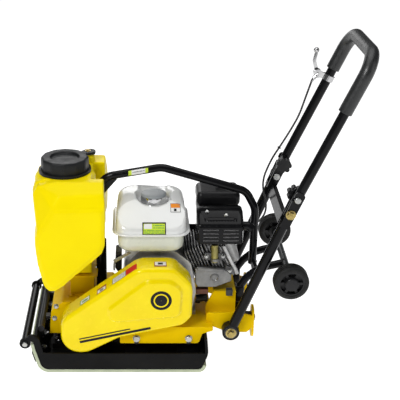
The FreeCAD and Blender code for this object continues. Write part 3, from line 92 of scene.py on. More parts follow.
def make_lights():
    world = bpy.data.worlds.new("studio")
    world.use_nodes = True
    background = world.node_tree.nodes["Background"]
    background.inputs["Color"].default_value = (1, 1, 1, 1)
    background.inputs["Strength"].default_value = WORLD_STRENGTH
    bpy.context.scene.world = world
    bpy.context.scene.view_settings.view_transform = "Standard"
    area_light("key", (-1.3, -2.3, 2.7), 0.8, 56)
    area_light("top", (0.2, 0.2, 3.0), 2.4, 36)
    area_light("fill", (2.8, -1.4, 1.5), 1.2, 8)
    area_light("rim", (-0.4, 2.8, 1.6), 1.4, 12)


def stage_piece(name, points, faces):
    """One surface of the studio round the object."""
    mesh = bpy.data.meshes.new(name)
    mesh.from_pydata(points, [], faces)
    obj = bpy.data.objects.new(name, mesh)
    bpy.context.collection.objects.link(obj)
    mesh.materials.append(MATERIALS["floor"])
    return obj


def make_floor():
    """The floor, and a pale wall round it that only the camera sees: it gives no light."""
    half = STAGE_HALF
    corners = [(-half, -half), (half, -half), (half, half), (-half, half)]
    stage_piece("floor", [(x, y, 0) for x, y in corners], [(0, 1, 2, 3)])
    wall = stage_piece("backdrop", [(x, y, z) for z in (0, half) for x, y in corners],
                       [(i, (i + 1) % 4, (i + 1) % 4 + 4, i + 4) for i in range(4)])
    wall.visible_diffuse = False
    wall.visible_glossy = False
    wall.visible_transmission = False
    wall.visible_shadow = False


# ---- materials ----------------------------------------------------------------------------------
MATERIALS = {}
WORN_RADIUS = 0.0012             # how far wear reaches from a sharp edge
LEAST_ROUGH = 0.03
COAT_ROUGH = 0.09
BUMP_STRENGTH = 0.6


def node(tree, kind, **values):
    """A new shader node with these settings."""
    made = tree.nodes.new(kind)
    for key, value in values.items():
        setattr(made, key, value)
    return made


def noise(tree, where, scale, detail, stretch=None):
    made = node(tree, "ShaderNodeTexNoise")
    made.inputs["Scale"].default_value = scale
    made.inputs["Detail"].default_value = detail
    if stretch:
        mapping = node(tree, "ShaderNodeMapping")
        mapping.inputs["Scale"].default_value = stretch
        tree.links.new(where, mapping.inputs["Vector"])
        where = mapping.outputs["Vector"]
    tree.links.new(where, made.inputs["Vector"])
    return made.outputs["Fac"]


def ranged(tree, value, low, high, out_low, out_high):
    made = node(tree, "ShaderNodeMapRange")
    made.inputs["From Min"].default_value = low
    made.inputs["From Max"].default_value = high
    made.inputs["To Min"].default_value = out_low
    made.inputs["To Max"].default_value = out_high
    tree.links.new(value, made.inputs["Value"])
    return made.outputs["Result"]


def mixed(tree, factor, first, second):
    """first and second are colours, or sockets that carry one."""
    made = node(tree, "ShaderNodeMix", data_type="RGBA")
    tree.links.new(factor, made.inputs["Factor"])
    for value, socket in ((first, made.inputs[6]), (second, made.inputs[7])):
        if isinstance(value, tuple):
            socket.default_value = (*value, 1)
        else:
            tree.links.new(value, socket)
    return made.outputs[2]


def multiplied(tree, first, second):
    made = node(tree, "ShaderNodeMath", operation="MULTIPLY")
    tree.links.new(first, made.inputs[0])
    tree.links.new(second, made.inputs[1])
    return made.outputs[0]


def surface(name, colour, shade, rough, metal=0.0, coat=0.0, blotch=14.0, grain=900.0,
            height=0.0001, spread=0.12, edge=None, edge_amount=0.6, dust=None, stretch=None,
            specular=0.5, tint=None):
    """One procedural finish: blotches of shade in colour, uneven roughness, a fine grain, worn
    edges, and patches of dust on what faces up."""
    mat = bpy.data.materials.new(name)
    mat.use_nodes = True
    tree = mat.node_tree
    shader = tree.nodes["Principled BSDF"]
    where = node(tree, "ShaderNodeTexCoord").outputs["Object"]
    broad = noise(tree, where, blotch, 6.0, stretch)
    paint = mixed(tree, ranged(tree, broad, 0.35, 0.7, 0.0, 1.0), colour, shade)
    shape = node(tree, "ShaderNodeNewGeometry")
    if edge:
        rounded = node(tree, "ShaderNodeBevel", samples=3)
        rounded.inputs["Radius"].default_value = WORN_RADIUS
        along = node(tree, "ShaderNodeVectorMath", operation="DOT_PRODUCT")
        tree.links.new(rounded.outputs["Normal"], along.inputs[0])
        tree.links.new(shape.outputs["Normal"], along.inputs[1])
        sharp = ranged(tree, along.outputs["Value"], 0.97, 0.80, 0.0, edge_amount)
        patchy = ranged(tree, noise(tree, where, 130, 3.0), 0.42, 0.60, 0.0, 1.0)
        paint = mixed(tree, multiplied(tree, sharp, patchy), paint, edge)
    if dust:
        up = node(tree, "ShaderNodeSeparateXYZ")
        tree.links.new(shape.outputs["Normal"], up.inputs[0])
        facing = ranged(tree, up.outputs["Z"], 0.6, 1.0, 0.0, 0.22)
        patches = ranged(tree, noise(tree, where, 22, 4.0), 0.45, 0.8, 0, 1)
        lying = multiplied(tree, facing, patches)
        paint = mixed(tree, lying, paint, dust)
    tree.links.new(paint, shader.inputs["Base Color"])
    uneven = noise(tree, where, blotch * 4, 5.0, stretch)
    tree.links.new(ranged(tree, uneven, 0.3, 0.75, max(rough - spread / 2, LEAST_ROUGH),
                          rough + spread), shader.inputs["Roughness"])
    relief = noise(tree, where, grain, 3.0, stretch)
    bump = node(tree, "ShaderNodeBump")
    bump.inputs["Strength"].default_value = BUMP_STRENGTH
    bump.inputs["Distance"].default_value = height
    tree.links.new(relief, bump.inputs["Height"])
    tree.links.new(bump.outputs["Normal"], shader.inputs["Normal"])
    shader.inputs["Metallic"].default_value = metal
    shader.inputs["Specular IOR Level"].default_value = specular
    shader.inputs["Coat Weight"].default_value = coat
    if tint:
        shader.inputs["Specular Tint"].default_value = (*tint, 1)
    shader.inputs["Coat Roughness"].default_value = COAT_ROUGH
    MATERIALS[name] = mat
    return mat


def make_materials():
    floor = surface("floor", (0.5, 0.5, 0.5), (0.47, 0.47, 0.47), 0.7, blotch=2, grain=300,
                    spread=0.1)
    shader = floor.node_tree.nodes["Principled BSDF"]
    shader.inputs["Emission Color"].default_value = (1, 1, 1, 1)
    shader.inputs["Emission Strength"].default_value = FLOOR_GLOW
    yellow, amber = (0.94, 0.745, 0.0), (0.90, 0.69, 0.0)
    surface("yellow_steel", yellow, amber, 0.22, coat=0.45, grain=420, height=0.00005,
            edge=(1.0, 0.82, 0.25), edge_amount=0.3, dust=(0.75, 0.62, 0.1), specular=0.3,
            tint=(1, 0.85, 0.05))
    surface("yellow_plastic", (0.95, 0.77, 0.0), (0.91, 0.72, 0.0), 0.42, coat=0.05, blotch=6,
            grain=260, height=0.00012, specular=0.4, tint=(1, 0.85, 0.05))
    surface("black_steel", (0.004, 0.004, 0.0045), (0.007, 0.007, 0.008), 0.14, coat=0.06,
            grain=500, height=0.00005, edge=(0.10, 0.10, 0.10), edge_amount=0.35,
            dust=(0.01, 0.01, 0.01), specular=0.12)
    surface("black_plastic", (0.007, 0.007, 0.008), (0.013, 0.013, 0.014), 0.36, grain=1500,
            height=0.00012, edge=(0.04, 0.04, 0.04), dust=(0.02, 0.02, 0.019), specular=0.26)
    surface("cap_plastic", (0.008, 0.009, 0.010), (0.013, 0.014, 0.015), 0.42, grain=1100,
            height=0.0002, edge=(0.06, 0.06, 0.06), specular=0.22)
    surface("pad", (0.50, 0.55, 0.38), (0.40, 0.45, 0.31), 0.5, blotch=30, grain=700,
            height=0.0002, spread=0.2)
    surface("rubber", (0.012, 0.012, 0.012), (0.03, 0.03, 0.029), 0.62, grain=900, height=0.0002)
    surface("foam", (0.0075, 0.0085, 0.009), (0.0105, 0.0115, 0.012), 0.38, blotch=30, grain=240,
            height=0.00002, specular=0.6)
    surface("tyre", (0.006, 0.006, 0.006), (0.014, 0.014, 0.013), 0.6, blotch=40, grain=1200,
            height=0.0002, edge=(0.05, 0.05, 0.046), specular=0.3)
    surface("zinc", (0.44, 0.44, 0.42), (0.28, 0.29, 0.29), 0.28, metal=1.0, blotch=60, grain=1800,
            height=0.00006, edge=(0.9, 0.9, 0.9))
    surface("brass", (0.72, 0.56, 0.24), (0.55, 0.45, 0.2), 0.3, metal=1.0, blotch=70)
    surface("steel", (0.42, 0.42, 0.41), (0.26, 0.26, 0.25), 0.38, metal=1.0, blotch=25,
            grain=1600, height=0.0001, stretch=(1, 6, 1), edge=(0.7, 0.7, 0.7))
    surface("chrome", (0.56, 0.56, 0.56), (0.38, 0.38, 0.39), 0.1, metal=1.0, spread=0.08,
            blotch=40, height=0.00003)
    surface("cast_iron", (0.003, 0.003, 0.0032), (0.007, 0.007, 0.007), 0.4, grain=260,
            height=0.0006, dust=(0.02, 0.02, 0.018), specular=0.10)
    surface("aluminium", (0.56, 0.56, 0.55), (0.34, 0.34, 0.34), 0.42, metal=0.85, blotch=35,
            grain=520, height=0.0004, edge=(0.85, 0.85, 0.85), dust=(0.3, 0.29, 0.26))
    surface("dark_fins", (0.13, 0.13, 0.13), (0.05, 0.05, 0.05), 0.42, metal=0.8, blotch=40,
            grain=500, height=0.0004, edge=(0.85, 0.85, 0.85), edge_amount=1.0)
    surface("white_steel", (0.74, 0.75, 0.74), (0.70, 0.71, 0.69), 0.16, coat=1.0, blotch=8,
            grain=380, height=0.00004)
    # a darker, yellow-tinged copy of the tank's white: painted shade on the lower half under the
    # seam
    surface("white_shaded", (0.66, 0.69, 0.60), (0.60, 0.63, 0.54), 0.25, coat=0.4, blotch=8,
            grain=380, height=0.00004)
    surface("grey_plastic", (0.28, 0.30, 0.31), (0.22, 0.24, 0.25), 0.32, grain=1100,
            height=0.00015, edge=(0.5, 0.5, 0.5))
    surface("ceramic", (0.02, 0.02, 0.02), (0.04, 0.04, 0.04), 0.3)
    surface("cast_grey", (0.24, 0.24, 0.235), (0.15, 0.15, 0.15), 0.38, metal=0.8, blotch=35,
            grain=500, height=0.0003, edge=(0.6, 0.6, 0.6))
    surface("soot_grey", (0.30, 0.30, 0.30), (0.22, 0.22, 0.22), 0.5, blotch=60)
    surface("dark_steel", (0.030, 0.034, 0.036), (0.02, 0.022, 0.024), 0.32, blotch=30, grain=900,
            height=0.0001, edge=(0.12, 0.12, 0.12), specular=0.5)
    surface("gold_zinc", (0.46, 0.36, 0.13), (0.30, 0.23, 0.08), 0.34, metal=1.0, blotch=60)
    # a darker, more orange copy of the yellow paint: painted shade on the deck and the tank's
    # support
    surface("shaded_yellow_steel", (0.84, 0.56, 0.0), (0.78, 0.50, 0.0), 0.42, grain=420,
            height=0.00005, edge=(0.9, 0.7, 0.2), edge_amount=0.3, specular=0.2,
            tint=(1, 0.75, 0.05))
    surface("olive", (0.33, 0.29, 0.09), (0.24, 0.21, 0.07), 0.38, metal=0.6, blotch=50)
    surface("rust_brown", (0.22, 0.07, 0.035), (0.14, 0.05, 0.03), 0.5, blotch=60)
    labels = {"white": (0.82, 0.82, 0.80), "red": (0.62, 0.03, 0.02), "green": (0.12, 0.36, 0.08),
              "lime": (0.56, 0.72, 0.05), "orange": (0.85, 0.27, 0.02),
              "black": (0.012, 0.012, 0.013), "brown": (0.40, 0.13, 0.03),
              "grey": (0.25, 0.25, 0.25)}
    for name, colour in labels.items():
        faded = tuple(c * 0.88 for c in colour)
        surface(f"label_{name}", colour, faded, 0.4, specular=0.15, blotch=50, grain=1500,
                height=0.00003)


# ---- mesh helpers -------------------------------------------------------------------------------
LABEL_CELL = 3.0 * MM            # side of the cells a label is cut into
LABEL_LIFT = 0.4 * MM            # how far a label stands off its surface
LAYER_LIFT = 0.12 * MM           # how far each printed layer stands off the last
LABEL_RAY = 80.0 * MM            # how far outside the surface a label's rays start


def piece(name, mesh, material, body, smooth=True, angle=35):
    obj = bpy.data.objects.new(name, mesh)
    bpy.context.collection.objects.link(obj)
    mesh.materials.clear()
    mesh.materials.append(MATERIALS[material])
    if smooth:
        mesh.shade_smooth()
        mesh.set_sharp_from_angle(angle=math.radians(angle))
    if body:
        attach(obj, body)
    return obj


def from_bmesh(name, bm, material, body, smooth=True, angle=35):
    mesh = bpy.data.meshes.new(name)
    bmesh.ops.recalc_face_normals(bm, faces=bm.faces)
    bm.to_mesh(mesh)
    bm.free()
    return piece(name, mesh, material, body, smooth, angle)


def add_modifier(obj, kind, **values):
    made = obj.modifiers.new(kind.lower(), kind)
    for key, value in values.items():
        setattr(made, key, value)
    return made


def bake(obj):
    """Applies all modifiers of an object to its mesh."""
    graph = bpy.context.evaluated_depsgraph_get()
    mesh = bpy.data.meshes.new_from_object(obj.evaluated_get(graph))
    obj.modifiers.clear()
    obj.data = mesh
    return obj


def hull(bm, points):
    """Adds the convex hull of points, in millimetres."""
    part = bmesh.new()
    for point in points:
        part.verts.new(Vector(point) * MM)
    done = bmesh.ops.convex_hull(part, input=part.verts)
    bmesh.ops.delete(part, geom=[g for g in done["geom_interior"]
                                 if isinstance(g, bmesh.types.BMVert)], context="VERTS")
    mesh = bpy.data.meshes.new("part")
    part.to_mesh(mesh)
    part.free()
    bm.from_mesh(mesh)
    bpy.data.meshes.remove(mesh)


def slab(outline, y):
    """An outline of X and Z placed at this Y."""
    return [(x, y, z) for x, z in outline]


def ring_points(centre, axis, radius, count):
    axis = Vector(axis).normalized()
    side = axis.orthogonal().normalized()
    up = axis.cross(side)
    made = []
    for i in range(count):
        turn = 2 * math.pi * i / count
        made.append(Vector(centre) + side * radius * math.cos(turn) + up * radius * math.sin(turn))
    return made


def bridge_rings(bm, rings, close_start=True, close_end=True):
    """Skins a row of equal rings of points and closes its ends."""
    loops = [[bm.verts.new(p) for p in ring] for ring in rings]
    for low, high in zip(loops, loops[1:]):
        count = len(low)
        for i in range(count):
            j = (i + 1) % count
            bm.faces.new((low[i], low[j], high[j], high[i]))
    if close_start:
        bm.faces.new(loops[0][::-1])
    if close_end:
        bm.faces.new(loops[-1])
    return loops


def turned(bm, start, axis, profile, count=32):
    """A turned shape: profile is (distance along axis, radius) in millimetres from start."""
    axis = Vector(axis).normalized()
    rings = [ring_points(Vector(start) * MM + axis * along * MM, axis, radius * MM, count)
             for along, radius in profile]
    bridge_rings(bm, rings)


def hex_head(bm, seat, axis, flats, height):
    """A chamfered hexagon head with its washer face."""
    axis = Vector(axis).normalized()
    seat = Vector(seat) * MM
    reach = flats * MM / math.sqrt(3)
    high = height * MM
    flange = 1.2
    turned(bm, seat / MM, axis,
           [(0, flats * 0.72), (flange, flats * 0.72), (flange + 0.3, flats * 0.68)], 24)
    seat = seat + axis * flange * MM
    rings = [ring_points(seat + axis * a, axis, r, 6) for a, r in
             ((0.0, reach * 0.97), (high * 0.08, reach), (high * 0.86, reach),
              (high, reach * 0.88))]
    bridge_rings(bm, rings)
    turned(bm, (seat + axis * high * 0.9) / MM, axis,
           [(0, flats * 0.3), (height * 0.16, flats * 0.28)], 16)


def tube(name, route, radius, material, body):
    """A round cord or pipe through the route's points, in millimetres."""
    curve = bpy.data.curves.new(name, "CURVE")
    curve.dimensions = "3D"
    spline = curve.splines.new("NURBS")
    spline.points.add(len(route) - 1)
    for point, (x, y, z) in zip(spline.points, route):
        point.co = (x * MM, y * MM, z * MM, 1)
    spline.order_u = 3
    spline.use_endpoint_u = True
    curve.bevel_depth = radius * MM
    curve.bevel_resolution = 4
    curve.resolution_u = 16
    curve.use_fill_caps = True
    holder = bpy.data.objects.new(name + "_curve", curve)
    bpy.context.collection.objects.link(holder)
    graph = bpy.context.evaluated_depsgraph_get()
    mesh = bpy.data.meshes.new_from_object(holder.evaluated_get(graph))
    bpy.data.objects.remove(holder)
    return piece(name, mesh, material, body)


def bvh_of(*objects):
    graph = bpy.context.evaluated_depsgraph_get()
    return [BVHTree.FromObject(o, graph) for o in objects]


def snapped(trees, start, direction):
    """The first point that a ray from start hits, or None."""
    hits = [tree.ray_cast(start, direction) for tree in trees]
    hits = [hit for hit in hits if hit[0] is not None]
    return min(hits, key=lambda hit: hit[3])[0] if hits else None


def decal(name, trees, corner, across, up, look, patches):
    """Flat label patches laid on a surface. corner, across and up are in millimetres and span the
    label, look is the direction it is pressed in, and patches are (u0, v0, u1, v1, material)."""
    corner, across, up = Vector(corner) * MM, Vector(across) * MM, Vector(up) * MM
    look = Vector(look).normalized()
    groups = {}
    for layer, (u0, v0, u1, v1, material) in enumerate(patches):
        groups.setdefault(material, []).append((layer, u0, v0, u1, v1))
    for material, rectangles in groups.items():
        bm = bmesh.new()
        for layer, u0, v0, u1, v1 in rectangles:
            columns = max(2, int((across.length * (u1 - u0)) / LABEL_CELL))
            rows = max(2, int((up.length * (v1 - v0)) / LABEL_CELL))
            lift = LABEL_LIFT + LAYER_LIFT * min(layer, 3)
            grid = []
            for r in range(rows + 1):
                line = []
                for c in range(columns + 1):
                    u = u0 + (u1 - u0) * c / columns
                    v = v0 + (v1 - v0) * r / rows
                    point = corner + across * u + up * v
                    hit = snapped(trees, point - look * LABEL_RAY, look)
                    line.append(bm.verts.new(point if hit is None else hit - look * lift))
                grid.append(line)
            for r in range(rows):
                for c in range(columns):
                    bm.faces.new((grid[r][c], grid[r][c + 1], grid[r + 1][c + 1],
                                  grid[r + 1][c]))
        from_bmesh(f"{name}.{material}", bm, material, CHASSIS)


def text_lines(u0, v0, u1, v1, rows, material):
    """Rows of short bars that read as small print but spell nothing."""
    bars = []
    for row in range(rows):
        v = v1 - (v1 - v0) * (row + 0.75) / rows
        thick = (v1 - v0) / rows * 0.36
        u, step = u0, 0
        while u < u1 - 0.02:
            size = (u1 - u0) * (0.10 + 0.09 * ((row * 5 + step * 3) % 4))
            bars.append((u, v, min(u + size, u1), v + thick, material))
            u += size + (u1 - u0) * 0.045
            step += 1
    return bars


# ---- water tank ---------------------------------------------------------------------------------
TANK_TOP = 539.5
TANK_VOXEL = 3.5 * MM
CAP_AT = (-153.0, 0.0)
CAP_FACETS = 12
CAP_POINTS = 12 * 14             # points round the cap
CAP_FLAT, CAP_LIMIT = 63.4, 65.6         # from the middle to a flat, and to a softened corner
STRAP_POINTS = 72
STRAP_INNER, STRAP_OUTER = 66.6, 71.5


def make_water_tank():
    """The roto-moulded saddle tank: two hanging lobes with a raked front corner, a middle that
    stands on the column, a collar under the cap and a groove at the back for the carrying frame."""
    top = TANK_TOP
    upper_in = [(-222, top - 10), (-236, 508), (-230, 412), (-60, 412), (-44, 424), (-44, top)]
    upper_out = [(-181, 484), (-223, 412), (-60, 412), (-39, 424), (-39, 488)]
    lower_out = [(-223, 418), (-229, 392), (-230, 372), (-225, 318), (-213, 262), (-206, 246),
                 (-195, 236), (-182, 236), (-164, 246), (-78, 328), (-50, 350), (-41, 374),
                 (-39, 418)]
    panel = [(-174, 478), (-215, 408), (-221, 372), (-216, 322), (-204, 268), (-194, 252),
             (-182, 248), (-166, 258), (-84, 338), (-56, 360), (-49, 380), (-48, 478)]
    lower_in = [(-230, 418), (-234, 396), (-231, 372), (-222, 318), (-206, 256), (-197, 242),
                (-186, 236), (-174, 242), (-74, 336), (-48, 362), (-44, 418)]
    bm = bmesh.new()
    for side in SIDES:
        near = side < 0
        shoulder = [(-163, 514), (-44, 520)] if near else [(-150, 531), (-46, 534)]
        crest_y, shoulder_y = (88, 127) if near else (126, 138)
        hull(bm, slab(upper_out, side * 140) + slab(shoulder, side * shoulder_y)
             + slab([(-156, top), (-50, top)], side * crest_y) + slab(upper_in, side * 90))
        hull(bm, slab(lower_out, side * 140) + slab(lower_in, side * 100))
        hull(bm, slab(panel, side * 120) + slab(panel, side * 145))
        hull(bm, slab(upper_in, side * 91) + slab([(-170, top), (-44, top)], side * 89)
             + slab([(-176, top), (-44, top)], side * 62) + slab(upper_in, side * 62))
        hull(bm, slab(lower_in, side * 101) + slab(lower_in, side * 62))
        hull(bm, slab([(-90, 356), (-44, 356), (-44, 474), (-90, 478)], side * 64)
             + slab([(-90, 356), (-48, 356), (-48, 470), (-90, 478)], side * 29))
    for front in ([(-206, top), (-230, 530), (-239, 508), (-228, 458), (-78, 458), (-78, top)],
                  [(-228, 464), (-234, 396), (-228, 358), (-78, 352), (-78, 464)]):
        hull(bm, slab(front, -66) + slab(front, 66))
    middle = [(-138, 360), (-134, 246), (-82, 246), (-78, 360)]
    hull(bm, slab(middle, -52) + slab(middle, 52))
    turned(bm, (*CAP_AT, 500), (0, 0, 1), [(0, 84), (26, 84), (39.5, 73)], 48)
    tank = from_bmesh("water_tank_shell", bm, "yellow_plastic", CHASSIS)
    add_modifier(tank, "REMESH", mode="VOXEL", voxel_size=TANK_VOXEL)
    add_modifier(tank, "SMOOTH", factor=0.6, iterations=4)
    bake(tank)
    tank.data.shade_smooth()
    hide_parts("water_tank")
    neck = bmesh.new()
    turned(neck, (*CAP_AT, 530), (0, 0, 1),
           [(0, 55.5), (23, 55.5), (23.5, 54), (23.5, 50), (0, 50)], 64)
    from_bmesh("tank_neck", neck, "yellow_plastic", CHASSIS)
    post = bmesh.new()
    turned(post, (-92, 77, 520), (0, 0, 1), [(0, 26), (14, 22), (36, 18), (43, 15)], 32)
    from_bmesh("tank_post", post, "yellow_plastic", CHASSIS)


def round_cap(reach, turn, z):
    """The point this far from the water cap's axis, at this angle and height, in metres."""
    return Vector((CAP_AT[0] + reach * math.cos(turn), CAP_AT[1] + reach * math.sin(turn), z)) * MM


def make_cap_strap():
    """The strap that keeps the water cap: a ring round its foot and a tongue with a brass screw."""
    rings = []
    count = STRAP_POINTS
    for z, inner in ((540.2, True), (540.2, False), (546, False), (547, True)):
        ring = []
        for i in range(count):
            turn = 2 * math.pi * i / count
            reach = STRAP_INNER
            if not inner:
                reach = STRAP_OUTER + 2.5 * math.cos(turn - math.radians(215)) ** 8
            ring.append(round_cap(reach, turn, z))
        rings.append(ring)
    bm = bmesh.new()
    loops = bridge_rings(bm, rings, False, False)
    for i in range(count):
        j = (i + 1) % count
        bm.faces.new((loops[-1][i], loops[-1][j], loops[0][j], loops[0][i]))
    from_bmesh("cap_strap", bm, "cap_plastic", CHASSIS)
    tongue = bmesh.new()
    root = ring_points((-104, 62, 0), (0, 0, 1), 11, 20)
    tip = ring_points((-88, 74, 0), (0, 0, 1), 17, 20)
    hull(tongue, [(p.x, p.y, z) for p in root + tip for z in (563, 571)])
    tab = from_bmesh("strap_tongue", tongue, "cap_plastic", CHASSIS)
    add_modifier(tab, "BEVEL", width=0.0015, segments=2)
    bake(tab)
    screw = bmesh.new()
    turned(screw, (-93, 74, 570.5), (0, 0, 1), [(0, 8), (1.0, 8), (1.2, 5.5), (4, 5), (4.6, 3)], 24)
    from_bmesh("strap_screw", screw, "brass", CHASSIS)


def make_water_cap():
    """The big cap: a faceted wall, a rounded top edge and a round finger recess."""
    count = CAP_POINTS
    rings = []
    wall = [(541, 0.0), (541.5, 0.8), (543, 1.4), (574, 1.0), (577.5, 0.0), (579.8, -1.6),
            (581, -4.4)]
    for z, out in wall:
        ring = []
        for i in range(count):
            turn = 2 * math.pi * i / count
            part = (turn * CAP_FACETS / (2 * math.pi)) % 1 - 0.5
            flat = CAP_FLAT / math.cos(part * 2 * math.pi / CAP_FACETS)
            notch = 1.2 * max(0, abs(part) - 0.46) / 0.04
            ring.append(round_cap(min(flat, CAP_LIMIT) - notch + out * 0.9, turn, z))
        rings.append(ring)
    base = Vector((*CAP_AT, 0))
    for z, radius in ((581, 44), (580.6, 41.5), (578.8, 39.2), (576.4, 38), (575, 35.5),
                      (574.6, 30), (575.2, 12), (575.4, 2)):
        centre = base + Vector((0, 0, z))
        rings.append([p * MM for p in ring_points(centre, (0, 0, 1), radius, count)])
    bm = bmesh.new()
    # the recess's rings start elsewhere on the circle, so they are turned to match the wall's
    first = Vector((rings[0][0].x, rings[0][0].y, 0)) - base * MM
    for ring in rings[len(wall):]:
        start = Vector((ring[0].x, ring[0].y, 0)) - base * MM
        shift = round(first.xy.angle_signed(start.xy) / (2 * math.pi) * count) % count
        ring[:] = ring[shift:] + ring[:shift]
    bridge_rings(bm, rings)
    cap = from_bmesh("water_cap_shell", bm, "cap_plastic", "water_cap",
                     angle=24)
    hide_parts("water_tank_cap")


# ---- fuel tank ----------------------------------------------------------------------------------
FUEL_MIDDLE = (84.5, -8.0)
FUEL_CAP = (92.0, 0.0)
WELL_FLOOR, CHANNEL_FLOOR = 449.5, 460.0
CORNER_POINTS = 24
SKIRT_POINTS = 96


def rounded_ring(x_half, y_half, corner, z, middle):
    """A rounded rectangle of points in millimetres."""
    made = []
    corner = min(corner, x_half, y_half)
    for sx, sy, start in ((1, 1, 0), (-1, 1, 90), (-1, -1, 180), (1, -1, 270)):
        cx, cy = middle[0] + sx * (x_half - corner), middle[1] + sy * (y_half - corner)
        for i in range(CORNER_POINTS):
            turn = math.radians(start + 90 * i / (CORNER_POINTS - 1))
            made.append(Vector((cx + corner * math.cos(turn), cy + corner * math.sin(turn), z)))
    return made


def eased(value):
    value = min(max(value, 0.0), 1.0)
    return value * value * (3 - 2 * value)


def fuel_top(point):
    """Sinks the cap's well, and the drain channel behind it, into the tank's top."""
    x, y, z = point
    slope = 471.5 - 0.55 * max(-18 - y, 0) - 0.0035 * max(-60 - y, 0) ** 2
    gap = max(7 - abs(z - slope), 0) / 7
    z = min(z, slope) - gap * gap * 7 / 4
    dx, dy = x - FUEL_CAP[0], y - FUEL_CAP[1]
    well = 1 - eased((math.hypot(dx, dy) - 43.0) / 12.0)
    z -= max(z - WELL_FLOOR, 0) * well
    channel = (1 - eased((abs(dx) - 30.0) / 14.0)) * eased((dy + 10) / 20)
    return Vector((x, y, z - max(z - CHANNEL_FLOOR, 0) * channel))


def make_fuel_tank():
    """Pressed steel tank: a domed upper half over a narrower lower half, folded at the seam."""
    upper = [(98, 105.5, 36, 392), (98.5, 106, 36, 396), (98, 105, 37, 410), (96, 103, 38, 424),
             (94.5, 101, 40, 437), (92.5, 97.5, 41, 448), (89.5, 94, 42, 456),
             (85.5, 89, 42, 462.5), (80, 83, 42, 467.5), (74, 76, 41, 470.2), (68, 70, 40, 471)]
    rings = [rounded_ring(*section, FUEL_MIDDLE) for section in upper]
    steps = 26
    for step in range(1, steps):
        part = 1 - step / steps
        rings.append(rounded_ring(68 * part, 70 * part, 40 * part, 471, FUEL_MIDDLE))
    rings = [[fuel_top(p) * MM for p in ring] for ring in rings]
    bm = bmesh.new()
    bridge_rings(bm, rings)
    bmesh.ops.remove_doubles(bm, verts=bm.verts, dist=0.00001)
    shell = from_bmesh("fuel_tank_upper", bm, "white_steel", CHASSIS, angle=50)
    seam = bmesh.new()
    profile = [(99, 106, 36, 396.5), (105.5, 109, 40, 396), (106.5, 110, 41, 394.8),
               (106.5, 110, 41, 392.2), (105.5, 109, 40, 391.2), (90, 98, 33, 391)]
    bridge_rings(seam, [[p * MM for p in rounded_ring(*s, FUEL_MIDDLE)] for s in profile])
    from_bmesh("fuel_tank_seam", seam, "white_steel", CHASSIS, angle=50)
    lower = bmesh.new()
    profile = [(91.5, 99, 32, 392), (91, 98.5, 32, 360), (89, 97, 32, 348), (83, 91, 32, 339.5),
               (73, 82, 30, 335.5), (60, 70, 28, 334.4)]
    bridge_rings(lower, [[p * MM for p in rounded_ring(*s, (83.5, -7.0))] for s in profile])
    # the lower half takes the darker copy of the white: painted shade
    from_bmesh("fuel_tank_lower", lower, "white_shaded", CHASSIS, angle=60)
    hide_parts("fuel_tank")
    return shell


def make_fuel_cap_skirt():
    """The bright pressed skirt round the fuel cap, with its scallops."""
    bm = bmesh.new()
    rings = []
    for z, radius, wave in ((449, 37.2, 0.0), (455, 37.0, 1.6), (462, 36.4, 1.6), (467, 36.0, 0.5),
                            (470.5, 34.6, 0.0)):
        ring = []
        for i in range(SKIRT_POINTS):
            turn = 2 * math.pi * i / SKIRT_POINTS
            r = radius - wave * max(0.0, math.cos(8 * turn)) ** 2
            ring.append(Vector((FUEL_CAP[0] + r * math.cos(turn), FUEL_CAP[1] + r * math.sin(turn),
                                z)) * MM)
        rings.append(ring)
    bridge_rings(bm, rings, False, False)
    from_bmesh("fuel_cap_skirt", bm, "chrome", "fuel_cap", angle=60)
    top = bmesh.new()
    turned(top, (*FUEL_CAP, 469.5), (0, 0, 1), [(0, 35.2), (2.2, 35), (3.6, 33), (4.2, 29),
                                               (4.6, 12), (4.7, 1)], 64)
    from_bmesh("fuel_cap_top", top, "grey_plastic", "fuel_cap", angle=60)


# ---- belt guard ---------------------------------------------------------------------------------
GUARD_OUTLINE = [(-166, 150), (-166, 68), (-100, 54), (-4, 106), (30, 114), (172, 146), (197, 172),
                 (197, 270), (146, 321), (50, 321), (-150, 172)]
GUARD_RADII = [40, 55, 60, 60, 60, 30, 30, 50, 40, 60, 40]
ISLAND = [(-34, 197), (-24, 163), (162, 180), (166, 262), (134, 284), (72, 284)]
ISLAND_RADII = [20, 20, 20, 30, 30, 36]
GUARD_FACE, GUARD_BACK = -172.0, -100.0
GUARD_ROUND = 12.0
ISLAND_RISE = 8.0
ISLAND_EASE = 10.5               # width of the slope from the guard's face up to the island
GUARD_SHEET = 2.0 * MM
GRID_START, GRID_PITCH, GRID_COUNT = (-170, 50), 9.0, (46, 36)
BADGE_POINTS = 40
DECK_SIDE, DECK_TOP = -150.0, 130.0


def rounded_outline(points, radii, step=5.0):
    """The closed outline with an arc of each radius at its corner, as points a step apart."""
    made = []
    count = len(points)
    for i, radius in enumerate(radii):
        here, before, after = (Vector(points[k % count]) for k in (i, i - 1, i + 1))
        back, ahead = (before - here).normalized(), (after - here).normalized()
        half = back.angle(ahead) / 2
        reach = radius / math.tan(half)
        centre = here + (back + ahead).normalized() * radius / math.sin(half)
        first, last = here + back * reach - centre, here + ahead * reach - centre
        turn = first.angle_signed(last)
        pieces = max(3, int(abs(turn) * radius / step))
        for k in range(pieces + 1):
            angle = -turn * k / pieces
            spun = Vector((first.x * math.cos(angle) - first.y * math.sin(angle),
                           first.x * math.sin(angle) + first.y * math.cos(angle)))
            made.append(centre + spun)
    filled = []
    for a, b in zip(made, made[1:] + made[:1]):
        pieces = max(1, round((b - a).length / (step * 2)))
        filled += [a.lerp(b, k / pieces) for k in range(pieces)]
    return filled


